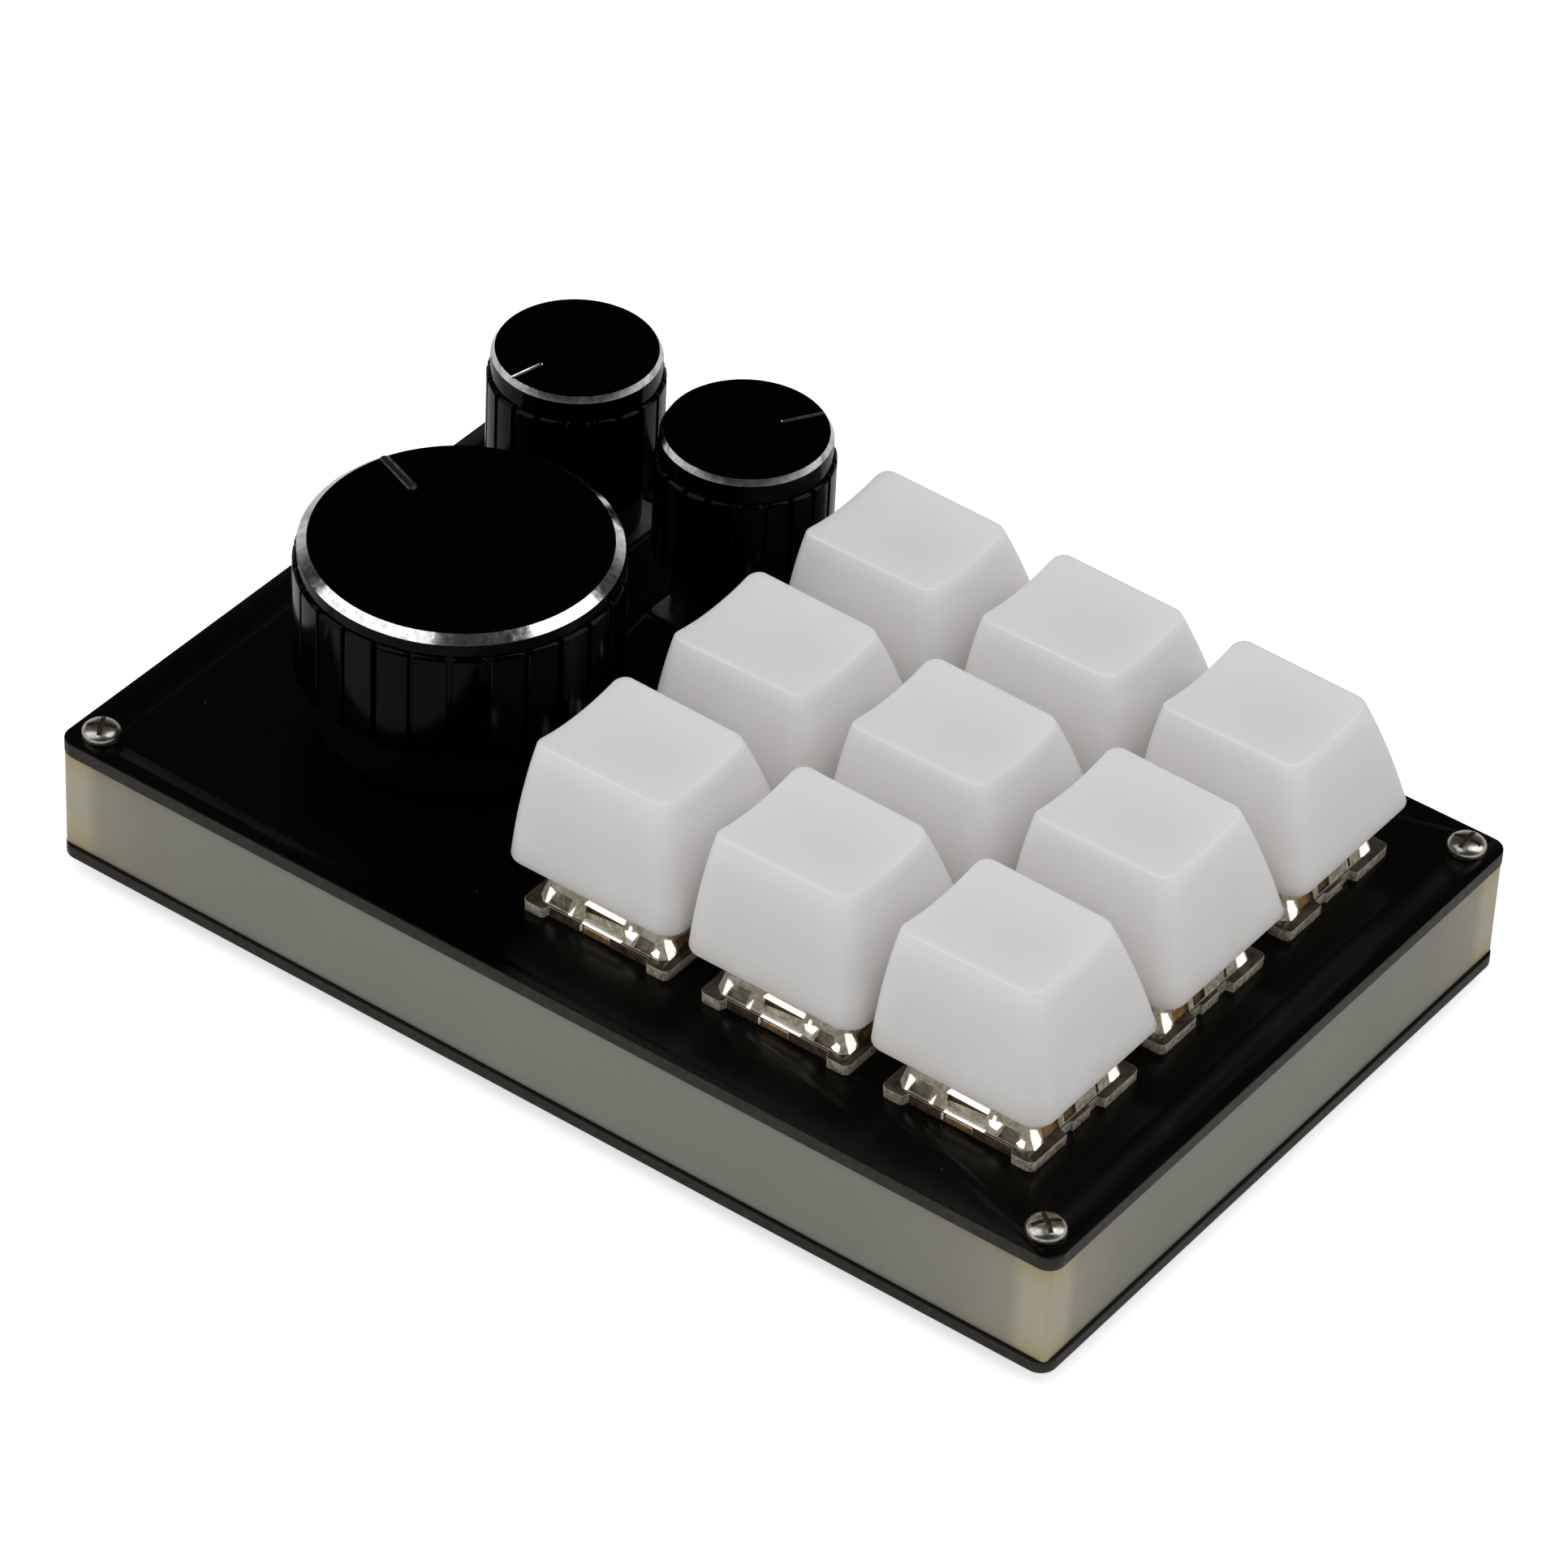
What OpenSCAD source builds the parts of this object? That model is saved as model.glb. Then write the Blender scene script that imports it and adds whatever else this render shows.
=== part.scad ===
// Macro keypad: nine plunger keys and three push-and-turn knobs on a plate and frame case.
// Origin at the middle of the feet's underside, +X to the user's right, +Y away from the user.

/* [Layout] */
// Distance between neighbouring key centres
key_pitch = 19.05; // [18.7:0.05:21]
// Plate border outside the grid of keys and knobs
edge_margin = 6; // [5.6:0.1:8]
// Corner radius of both plates
corner_r = 3; // [1.5:0.1:4.5]

/* [Case] */
// Thickness of the top plate
top_plate_t = 1.5; // [1.2:0.1:2]
// Height of the translucent side frame
frame_h = 10.2; // [9.6:0.1:14]
// Thickness of the bottom plate
bottom_plate_t = 1.3; // [1:0.1:3]
// How far the side frame stands in from the plates' edges
frame_inset = 0.35; // [0.1:0.05:0.8]
// Thickness of the side frame's walls
frame_wall = 4.2; // [3.4:0.1:4.4]
// Diameter of a rubber foot
foot_d = 8; // [5:0.5:12]
// Height of a rubber foot
foot_h = 2; // [1:0.1:4]
// Distance of a foot's centre from the plate's edges
foot_inset = 10; // [8:0.5:14]

/* [Fasteners] */
// Distance of a case screw from the plate's edges
screw_inset = 2.8; // [2.6:0.05:3.2]
// Thread diameter of the case screws
screw_d = 2; // [1.6:0.1:2.4]
// Thread length of the case screws
screw_l = 5; // [3.5:0.1:6]
// Head diameter of the case screws
screw_head_d = 3.6; // [3:0.1:4.4]
// Head height of the case screws
screw_head_h = 1.2; // [0.9:0.1:1.8]
// Diameter of the brass standoffs
standoff_d = 3.4; // [3:0.1:3.8]

/* [Circuit board] */
// Thickness of the circuit board
board_t = 1.6; // [1:0.1:2]
// Width of the USB socket's shell
usb_w = 8.94; // [8:0.02:10]
// Height of the USB socket's shell
usb_h = 3.16; // [2.8:0.02:3.4]
// Length of the USB socket's shell
usb_l = 7.35; // [6.5:0.05:9]

/* [Switches] */
// Side of a switch's square plate cut-out
cutout = 14; // [13.8:0.05:14.3]
// Side of the switch flange that rests on the plate
flange_side = 15.6; // [15:0.05:16]
// Height of the switch flange
flange_h = 1; // [0.8:0.05:1.2]
// Depth of a switch below the top of the plate
switch_depth = 5; // [4.8:0.05:5.6]
// Height of the switch cover above the plate
cover_h = 6.6; // [6:0.1:7]
// Side of the switch cover where it meets the flange
cover_base = 13.6; // [13:0.05:14]
// Side of the switch cover at its top
cover_top = 11; // [10.6:0.05:11.6]
// Wall of the switch cover
cover_wall = 1; // [0.8:0.05:1.2]
// Width of the stem's slider, along X
slider_w = 5.7; // [5.5:0.05:6]
// Length of the stem's slider, along Y
slider_l = 7; // [6.6:0.05:7.4]
// Height of the stem's cross above the slider
cross_h = 3.6; // [3:0.1:4]
// Length of the cross's arms from tip to tip
cross_span = 4; // [3.8:0.05:4.2]
// Thickness of the cross's arms
cross_t = 1.2; // [1:0.02:1.3]
// How far a key travels
key_travel = 4; // [3:0.1:4]
// Outer diameter of a key spring
spring_d = 4.4; // [4.3:0.02:4.44]
// Wire diameter of a key spring
spring_wire = 0.3; // [0.25:0.01:0.35]
// Turns of a key spring
spring_turns = 8; // [6:1:9]

/* [Keycaps] */
// Side of a keycap at its lower edge
cap_base = 18.2; // [17:0.05:18.3]
// Height of a keycap
cap_h = 11; // [9.8:0.1:12]
// Gap between the plate and a keycap's lower edge
cap_gap = 6; // [5.5:0.1:6.5]
// Width of a keycap's top at the back
cap_top_w = 12.2; // [11:0.1:13]
// Length of a keycap's top
cap_top_l = 13.6; // [12:0.1:14]
// How far a keycap's top is set back from the key's centre
cap_setback = 1.5; // [0.5:0.1:2]
// Depth of the dish in a keycap's top
cap_dish = 0.75; // [0.4:0.05:1]
// Radius of a keycap's lower corners
cap_base_r = 2; // [0.5:0.1:3]
// Radius of a keycap's upper corners
cap_top_r = 1.3; // [1:0.1:2.4]
// How far a keycap's sides bulge outwards halfway up
cap_bulge = 0.2; // [0:0.05:0.4]
// Wall of a keycap
cap_wall = 1.4; // [1.1:0.05:1.5]
// Diameter of the post inside a keycap
post_d = 5.5; // [5.3:0.05:5.5]

/* [Encoders] */
// Width of an encoder's body, along X
encoder_w = 12.8; // [12:0.1:13.4]
// Length of an encoder's body, along Y
encoder_l = 11.8; // [11.6:0.1:13]
// How far the body's centre lies in front of the shaft
encoder_offset = 0.5; // [0:0.1:0.8]
// How far the encoder's cover stands above the top of the plate
encoder_rise = 0.2; // [0.1:0.05:0.4]
// Height of the encoder's plastic base
encoder_base_h = 1.6; // [1.4:0.1:1.8]
// Diameter of the encoder's bushing
bushing_d = 7; // [6.8:0.1:7.4]
// Height of the encoder's bushing
bushing_h = 5; // [4:0.1:6]
// Diameter of the encoder's shaft
shaft_d = 6; // [5.8:0.05:6]
// Length of the shaft above the encoder's cover
shaft_l = 15; // [14:0.1:15.5]
// Thickness of the shaft at its flat
shaft_flat = 4.5; // [4.2:0.05:4.8]
// How far a knob is pressed to click
click_travel = 0.5; // [0.3:0.05:0.5]

/* [Knobs] */
// Height of the knobs' top above the plate
knob_top = 19.5; // [19:0.1:21]
// Gap between the plate and a knob's metal shell
shell_gap = 6.6; // [6:0.1:8]
// Gap between the plate and a knob's plastic core
core_gap = 0.95; // [0.95:0.05:1.4]
// Thickness of a knob shell's roof
shell_roof = 1.2; // [0.8:0.1:1.6]
// Diameter of the large knob across its ribs
large_d = 29.3; // [28:0.1:30]
// Diameter of the small knobs across their ribs
small_d = 16.2; // [15.6:0.1:17]
// Diameter of the large knob's core
large_core_d = 26; // [24:0.1:26.6]
// Diameter of the small knobs' core
small_core_d = 12.6; // [12:0.1:13]
// Drop of the collar between top edge and ribs on the large knob
large_collar = 1.95; // [1.5:0.05:3]
// Drop of the collar between top edge and ribs on the small knobs
small_collar = 2.55; // [1.5:0.05:3]
// Number of ribs round the large knob
large_ribs = 27; // [18:1:32]
// Number of ribs round a small knob
small_ribs = 20; // [14:1:24]
// Width of the groove between two ribs
rib_groove = 0.4; // [0.2:0.05:0.6]
// Depth of the groove between two ribs
rib_depth = 0.4; // [0.2:0.05:0.5]
// Depth of the pointer line in a knob's top
pointer_depth = 0.25; // [0.1:0.05:0.4]

/* [Hidden] */
$fn = 48;

// Clearances
slip = 0.05;        // a part that drops into its hole
loose = 0.3;        // a part that passes through freely
slide_fit = 0.08;   // radial play of a sliding or turning shaft
snug = 0.02;        // radial play of a pressed joint
over = 0.1;         // how far a cut runs past a face

// Grid of three columns and five rows: three rows of keys, two rows of knobs
columns = 3;
key_rows = 3;
rows = 5;
plate_w = columns * key_pitch + 2 * edge_margin;
plate_l = rows * key_pitch + 2 * edge_margin;
function cell_x(column) = (column - (columns - 1) / 2) * key_pitch;
function cell_y(row) = ((rows - 1) / 2 - row) * key_pitch;
// Keys are numbered from the back left to the front right
KEYS = [for (row = [0:key_rows - 1]) for (column = [0:columns - 1])
  [cell_x(column), cell_y(row + rows - key_rows)]];
// Knobs: the large one between four cells, then the back and the front small one
KNOBS = [
  [(cell_x(0) + cell_x(1)) / 2, (cell_y(0) + cell_y(1)) / 2],
  [cell_x(2), cell_y(0)],
  [cell_x(2), cell_y(1)]
];

// Heights
floor_z = foot_h + bottom_plate_t;
ceiling_z = floor_z + frame_h;
plate_z = ceiling_z + top_plate_t;
board_z = plate_z - switch_depth;

// Case
frame_w = plate_w - 2 * frame_inset;
frame_l = plate_l - 2 * frame_inset;
frame_r = corner_r - frame_inset;
screw_x = plate_w / 2 - screw_inset;
screw_y = plate_l / 2 - screw_inset;
corner_pad = screw_inset - frame_inset + standoff_d / 2 + 2;
room_w = frame_w - 2 * frame_wall;
room_l = frame_l - 2 * frame_wall;
board_w = room_w - 2 * loose;
board_l = room_l - 2 * loose;
usb_skin = 1.2;
usb_pocket_side = 2.5;
usb_pocket_w = usb_w + 2 * usb_pocket_side;
chip_w = 9.9;
chip_l = 3.9;
chip_h = 1.5;
chip_lift = 0.1;
leg_pitch = 1.27;
leg_w = 0.4;
leg_l = 1.05;
leg_t = 0.2;
tongue_w = usb_pocket_w - 2 * loose;
tongue_end = frame_l / 2 - usb_skin - loose;

// Switch
base_side = cutout - 2 * slip;
base_floor = 1.2;
base_wall = 1.3;
floor_in = plate_z - switch_depth + base_floor;
guide_d = 4;
guide_l = 3.3;
pin_d = 2;
pin_l = 8;
tube_d = 3.2;
tube_h = 2.2;
slider_top = plate_z + cover_h;
stroke_rest = 0.4;
slider_bottom = floor_in + key_travel + stroke_rest;
seat_rise = 4;
seat_z = slider_bottom + seat_rise;
wing = [0.9, 2.6];
wing_top = plate_z + cover_h - cover_wall - slip;
spring_bore = spring_d + 0.3;
cover_play = 0.15;
contact_pins = [[-2.54, -3.81], [-5.08, 2.54]];
contact_t = 0.2;
contact_w = 0.9;
contact_x = -4.6;
contact_y = 2.5;
contact_l = 3.4;
contact_h = 6.6;
led_x = 5;
led_size = [2.8, 3.2, 1.8];
led_wing = 0.2;
led_wing_l = 5.6;

// Encoder
encoder_z = plate_z + encoder_rise;
encoder_mid = board_z + encoder_base_h;
cover_roof = 0.8;
cover_skin = 0.7;
rotor_r = encoder_l / 2 - encoder_offset - cover_skin - loose;
rotor_t = 1.7;
rotor_z = encoder_mid + 0.5;
key_r = 2.1;
key_flat = 1.6;
shaft_foot = board_z + 1.4;
dome_top = shaft_foot - click_travel - 0.1;
dome_h = 0.35;
terminal_x = [-2.5, 0, 2.5];
terminal_l = 2.6;

// Knobs
LARGE = 0;
function rib_d(i) = i == LARGE ? large_d : small_d;
function core_d(i) = i == LARGE ? large_core_d : small_core_d;
function collar_drop(i) = i == LARGE ? large_collar : small_collar;
function rib_count(i) = i == LARGE ? large_ribs : small_ribs;
function rim_w(i) = i == LARGE ? 1 : 0.5;
function rim_h(i) = i == LARGE ? 0.6 : 0.5;
function collar_d(i) = rib_d(i) - 0.6;
pointer_turn = [69, 167, 329];
pointer_l = [4.8, 3.2, 3.8];
pointer_w = [1.0, 0.5, 0.5];
rib_turn = [214.7, 174, 174.8];
core_recess_r = bushing_d / 2 + 0.4;
core_recess_top = encoder_z + bushing_h + click_travel + 0.2;
shaft_top = encoder_z + shaft_l;
shell_ceiling = plate_z + knob_top - shell_roof;

// ---------- shared shapes ----------

// A flat block with round upright edges, standing on z = 0
module round_block(w, l, h, r) {
  linear_extrude(height = h) {
    square([w - 2 * r, l], center = true);
    square([w, l - 2 * r], center = true);
    for (sx = [-1, 1], sy = [-1, 1])
      translate([sx * (w / 2 - r), sy * (l / 2 - r)])
        circle(r = r);
  }
}

// A block centred on x and y, standing on z = 0
module block(w, l, h) {
  translate([-w / 2, -l / 2, 0])
    cube([w, l, h]);
}

// A block whose sides lean inwards from base to top
module taper(base_w, base_l, top_w, top_l, h) {
  intersection() {
    rotate([90, 0, 0])
      linear_extrude(height = base_l, center = true)
        polygon([[-base_w / 2, 0], [base_w / 2, 0], [top_w / 2, h], [-top_w / 2, h]]);
    rotate([90, 0, 90])
      linear_extrude(height = base_w, center = true)
        polygon([[-base_l / 2, 0], [base_l / 2, 0], [top_l / 2, h], [-top_l / 2, h]]);
  }
}

module at_corners(x, y) {
  for (sx = [-1, 1], sy = [-1, 1])
    translate([sx * x, sy * y, 0])
      children();
}

module at_keys() {
  for (key = KEYS)
    translate([key[0], key[1], 0])
      children();
}

module at_knobs() {
  for (knob = KNOBS)
    translate([knob[0], knob[1], 0])
      children();
}

// ---------- case ----------

module bottom_plate() {
  color([0.05, 0.05, 0.05])
    translate([0, 0, foot_h])
      difference() {
        round_block(plate_w, plate_l, bottom_plate_t, corner_r);
        at_corners(screw_x, screw_y)
          translate([0, 0, -over])
            cylinder(d = screw_d + 2 * slip, h = bottom_plate_t + 2 * over);
      }
}

module side_frame() {
  color([0.78, 0.76, 0.70, 0.8])
    translate([0, 0, floor_z])
      difference() {
        round_block(frame_w, frame_l, frame_h, frame_r);
        difference() {
          translate([0, 0, -over])
            block(room_w, room_l, frame_h + 2 * over);
          at_corners(frame_w / 2 - corner_pad / 2, frame_l / 2 - corner_pad / 2)
            translate([0, 0, -2 * over])
              block(corner_pad, corner_pad, frame_h + 4 * over);
        }
        at_corners(screw_x, screw_y)
          translate([0, 0, -over])
            cylinder(d = standoff_d + 2 * slip, h = frame_h + 2 * over);
        translate([0, frame_l / 2 - usb_skin - frame_wall / 2, -over])
          block(usb_pocket_w, frame_wall, frame_h + 2 * over);
        translate([0, frame_l / 2, board_z + usb_h / 2 - floor_z])
          usb_outline(usb_w + 2 * loose, usb_h + 2 * loose, 2 * usb_skin + over);
      }
}

module top_plate() {
  color([0.04, 0.04, 0.04])
    translate([0, 0, ceiling_z])
      difference() {
        round_block(plate_w, plate_l, top_plate_t, corner_r);
        translate([0, 0, -over]) {
          at_corners(screw_x, screw_y)
            cylinder(d = screw_d + 2 * slip, h = top_plate_t + 2 * over);
          at_keys()
            block(cutout, cutout, top_plate_t + 2 * over);
          at_knobs()
            translate([0, -encoder_offset, 0])
              block(encoder_w + 2 * loose, encoder_l + 2 * loose, top_plate_t + 2 * over);
        }
      }
}

module standoffs() {
  color([0.78, 0.62, 0.30])
    at_corners(screw_x, screw_y)
      translate([0, 0, floor_z])
        difference() {
          cylinder(d = standoff_d, h = frame_h);
          translate([0, 0, -over])
            cylinder(d = screw_d + 2 * slip, h = frame_h + 2 * over);
        }
}

// A pan-head screw with a cross recess, its head's underside at z = 0 and its thread downwards
module screw() {
  dome_r = (pow(screw_head_d / 2, 2) + pow(screw_head_h, 2)) / (2 * screw_head_h);
  recess_w = screw_head_d * 0.15;
  recess_l = screw_head_d * 0.58;
  difference() {
    union() {
      intersection() {
        cylinder(d = screw_head_d, h = screw_head_h);
        translate([0, 0, screw_head_h * 1.12 - dome_r])
          sphere(r = dome_r);
      }
      translate([0, 0, -screw_l])
        cylinder(d = screw_d, h = screw_l + screw_head_h / 4);
    }
    for (turn = [0, 90])
      rotate([0, 0, turn])
        translate([0, 0, screw_head_h * 0.4])
          block(recess_l, recess_w, screw_head_h);
  }
}

module top_screws() {
  color([0.75, 0.74, 0.70])
    at_corners(screw_x, screw_y)
      translate([0, 0, plate_z])
        rotate([0, 0, 30])
          screw();
}

module bottom_screws() {
  color([0.75, 0.74, 0.70])
    at_corners(screw_x, screw_y)
      translate([0, 0, foot_h])
        rotate([180, 0, 0])
          screw();
}

module rubber_feet() {
  chamfer = foot_h / 5;
  color([0.10, 0.10, 0.10])
    at_corners(plate_w / 2 - foot_inset, plate_l / 2 - foot_inset) {
      cylinder(d1 = foot_d - 2 * chamfer, d2 = foot_d, h = chamfer);
      translate([0, 0, chamfer])
        cylinder(d = foot_d, h = foot_h - chamfer);
    }
}

// ---------- circuit board ----------

module circuit_board() {
  notch = corner_pad - frame_wall + loose;
  color([0.05, 0.22, 0.12])
    translate([0, 0, board_z - board_t])
      difference() {
        union() {
          block(board_w, board_l, board_t);
          translate([-tongue_w / 2, 0, 0])
            cube([tongue_w, tongue_end, board_t]);
        }
        translate([0, 0, -over]) {
          at_corners(board_w / 2, board_l / 2)
            block(2 * notch, 2 * notch, board_t + 2 * over);
          at_keys() {
            cylinder(d = guide_d + 2 * slip, h = board_t + 2 * over);
            for (pin = contact_pins)
              translate([pin[0], pin[1], 0])
                cylinder(d = contact_w + loose, h = board_t + 2 * over);
            translate([led_x, 0, 0])
              block(led_size[0] + loose, led_size[1] + loose, board_t + 2 * over);
          }
          at_knobs()
            at_terminals()
              cylinder(d = contact_w + loose, h = board_t + 2 * over);
        }
      }
}

// Positions of an encoder's terminals: three turn contacts in front, two switch contacts behind
module at_terminals() {
  row_y = encoder_l / 2 - 1.2;
  for (x = terminal_x)
    translate([x, -encoder_offset - row_y, 0])
      children();
  for (x = [terminal_x[0], terminal_x[2]])
    translate([x, -encoder_offset + row_y, 0])
      children();
}

module controller_chip() {
  legs = 8;
  color([0.12, 0.12, 0.13])
    translate([cell_x(0), cell_y(0) + key_pitch / 4, board_z]) {
      translate([0, 0, chip_lift])
        block(chip_w, chip_l, chip_h);
      for (side = [-1, 1], i = [0:legs - 1])
        translate([(i - (legs - 1) / 2) * leg_pitch, side * (chip_l / 2 + leg_l / 2), 0]) {
          block(leg_w, leg_l, leg_t);
          translate([0, -side * (leg_l / 2 - leg_t / 2), 0])
            block(leg_w, leg_t, chip_h / 2);
        }
    }
}

// The socket's round-ended outline, extruded along Y about its middle
module usb_outline(w, h, l) {
  rotate([90, 0, 0])
    linear_extrude(height = l, center = true) {
      square([w - h, h], center = true);
      for (side = [-1, 1])
        translate([side * (w - h) / 2, 0])
          circle(d = h);
    }
}

module usb_socket() {
  shell = 0.3;
  mouth = 6.2;
  tongue = [6.7, 5, 0.7];
  color([0.72, 0.72, 0.72])
    translate([0, frame_l / 2 - usb_l / 2, board_z + usb_h / 2]) {
      difference() {
        usb_outline(usb_w, usb_h, usb_l);
        translate([0, usb_l / 2 - mouth / 2 + over, 0])
          usb_outline(usb_w - 2 * shell, usb_h - 2 * shell, mouth + 2 * over);
      }
      translate([0, usb_l / 2 - mouth + tongue[1] / 2 - over, -tongue[2] / 2])
        block(tongue[0], tongue[1] + over, tongue[2]);
    }
}

module switch_leds() {
  color([0.95, 0.93, 0.85])
    at_keys()
      translate([led_x, 0, board_z - board_t]) {
        translate([0, 0, -led_wing])
          block(led_size[0], led_size[1], led_size[2]);
        translate([0, 0, -led_wing])
          block(led_size[0], led_wing_l, led_wing);
      }
}

module hot_swap_sockets() {
  height = 1.8;
  pad = 3.6;
  middle = (contact_pins[0] + contact_pins[1]) / 2;
  hole_d = contact_w + 2 * loose;
  color([0.10, 0.10, 0.10])
    at_keys()
      translate([0, 0, board_z - board_t - height])
        difference() {
          union() {
            for (pin = contact_pins)
              translate([pin[0], pin[1], 0])
                block(pad, pad, height);
            translate([middle[0], middle[1], 0])
              block(pad * 0.4, pad * 1.5, height);
          }
          for (pin = contact_pins)
            translate([pin[0], pin[1], -over])
              cylinder(d = hole_d, h = height + 2 * over);
        }
}

// ---------- key switches ----------

// Flange outline: a square with a wide notch on its left and right sides, and on its front
// and back a notch that holds a shorter tab
module flange() {
  side_notch = 0.7;
  side_tab = 2.3;
  end_notch = 0.75;
  end_tab = 5;
  middle_tab = 2.4;
  tab_depth = 0.45;
  difference() {
    round_block(flange_side, flange_side, flange_h, 0.6);
    for (side = [-1, 1]) {
      translate([side * flange_side / 2, 0, -over])
        block(2 * side_notch, flange_side - 2 * side_tab, flange_h + 2 * over);
      translate([0, side * flange_side / 2, -over])
        block(flange_side - 2 * end_tab, 2 * end_notch, flange_h + 2 * over);
    }
  }
  for (side = [-1, 1])
    translate([0, side * (flange_side / 2 - 2 * tab_depth), 0])
      block(middle_tab, 2 * tab_depth, flange_h);
}

module switch_bases() {
  cavity = base_side - 2 * base_wall;
  guide_z = board_z - guide_l;
  color([0.86, 0.85, 0.82, 0.5])
    at_keys() {
      difference() {
        union() {
          translate([0, 0, board_z])
            block(base_side, base_side, switch_depth + over);
          translate([0, 0, plate_z])
            flange();
          translate([0, 0, guide_z])
            cylinder(d = guide_d, h = guide_l + over);
        }
        translate([0, 0, floor_in])
          block(cavity, cavity, switch_depth + flange_h);
        translate([0, 0, guide_z + 0.4])
          cylinder(d = pin_d + 2 * slide_fit, h = guide_l + base_floor);
        for (pin = contact_pins)
          translate([pin[0], pin[1], board_z - over])
            block(contact_w + loose, contact_w + loose, base_floor + 2 * over);
      }
      translate([0, 0, floor_in - over])
        difference() {
          cylinder(d = tube_d, h = tube_h + over);
          translate([0, 0, -over])
            cylinder(d = pin_d + 2 * slide_fit, h = tube_h + 3 * over);
        }
    }
}

module switch_covers() {
  height = cover_h - flange_h;
  lean = (cover_base - cover_top) / height;
  inner_base = base_side - 2 * base_wall;
  inner_h = height - cover_wall;
  inner_top = cover_top - 2 * cover_wall + lean * cover_wall;
  window_w = 5.3;
  window_h = 2;
  color([0.92, 0.92, 0.90, 0.4])
    at_keys()
      translate([0, 0, plate_z + flange_h])
        difference() {
          taper(cover_base, cover_base, cover_top, cover_top, height);
          translate([0, 0, -over])
            taper(inner_base + lean * over, inner_base + lean * over, inner_top, inner_top,
              inner_h + over);
          block(slider_w + 2 * cover_play, slider_l + 2 * cover_play, height + over);
          for (side = [-1, 1])
            translate([side * cover_base / 2, 0, height * 0.11])
              block(cover_wall + over, window_w, window_h);
        }
}

module switch_contacts() {
  color([0.82, 0.50, 0.22])
    at_keys()
      for (i = [0:1]) {
        pin = contact_pins[i];
        side = i == 0 ? -1 : 1;
        translate([contact_x - contact_t / 2, side * contact_y - contact_l / 2, floor_in])
          cube([contact_t, contact_l, contact_h]);
        translate([min(pin[0], contact_x) - contact_t / 2, pin[1] - contact_w / 2, floor_in])
          cube([abs(pin[0] - contact_x) + contact_t, contact_w, contact_t]);
        translate([pin[0], pin[1], board_z - guide_l])
          block(contact_t, contact_w, guide_l + base_floor + contact_t);
      }
}

module key_stem(i) {
  color([0.88, 0.86, 0.82])
    translate([KEYS[i][0], KEYS[i][1], 0]) {
      difference() {
        union() {
          translate([0, 0, slider_bottom])
            block(slider_w, slider_l, slider_top - slider_bottom);
          translate([0, 0, slider_bottom])
            block(slider_w + 2 * wing[0], wing[1], wing_top - slider_bottom);
        }
        translate([0, 0, slider_bottom - over])
          cylinder(d = spring_bore, h = seat_z - slider_bottom + over);
      }
      translate([0, 0, seat_z - pin_l])
        cylinder(d = pin_d, h = pin_l + over);
      translate([0, 0, slider_top - over]) {
        block(cross_span, cross_t, cross_h + over);
        block(cross_t, cross_span, cross_h + over);
      }
    }
}

// A tube of round section swept along a helix about the z axis
module key_spring(i) {
  sides = 6;
  steps = 10;
  rings = spring_turns * steps;
  wire_r = spring_wire / 2;
  mean_r = spring_d / 2 - wire_r;
  low = floor_in + wire_r;
  high = seat_z - wire_r;
  points = [for (k = [0:rings]) for (s = [0:sides - 1])
    let (turn = 360 * k / steps, around = 360 * s / sides,
      out = mean_r + wire_r * cos(around))
    [out * cos(turn), out * sin(turn), low + (high - low) * k / rings + wire_r * sin(around)]];
  skin = [for (k = [0:rings - 1]) for (s = [0:sides - 1])
    let (a = k * sides + s, b = k * sides + (s + 1) % sides)
    [a, b, b + sides, a + sides]];
  start = [for (s = [sides - 1:-1:0]) s];
  end = [for (s = [0:sides - 1]) rings * sides + s];
  color([0.80, 0.78, 0.72])
    translate([KEYS[i][0], KEYS[i][1], 0])
      polyhedron(points = points, faces = concat([start], skin, [end]));
}

// ---------- keycaps ----------

// A thin slab with round corners: one level of a keycap's shape
module cap_level(w, front_w, l, r, y) {
  slab = 0.01;
  for (sx = [-1, 1]) {
    translate([sx * (w / 2 - r), y + l / 2 - r, 0])
      cylinder(r = r, h = slab, $fn = 32);
    translate([sx * (front_w / 2 - r), y - l / 2 + r, 0])
      cylinder(r = r, h = slab, $fn = 32);
  }
}

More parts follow.
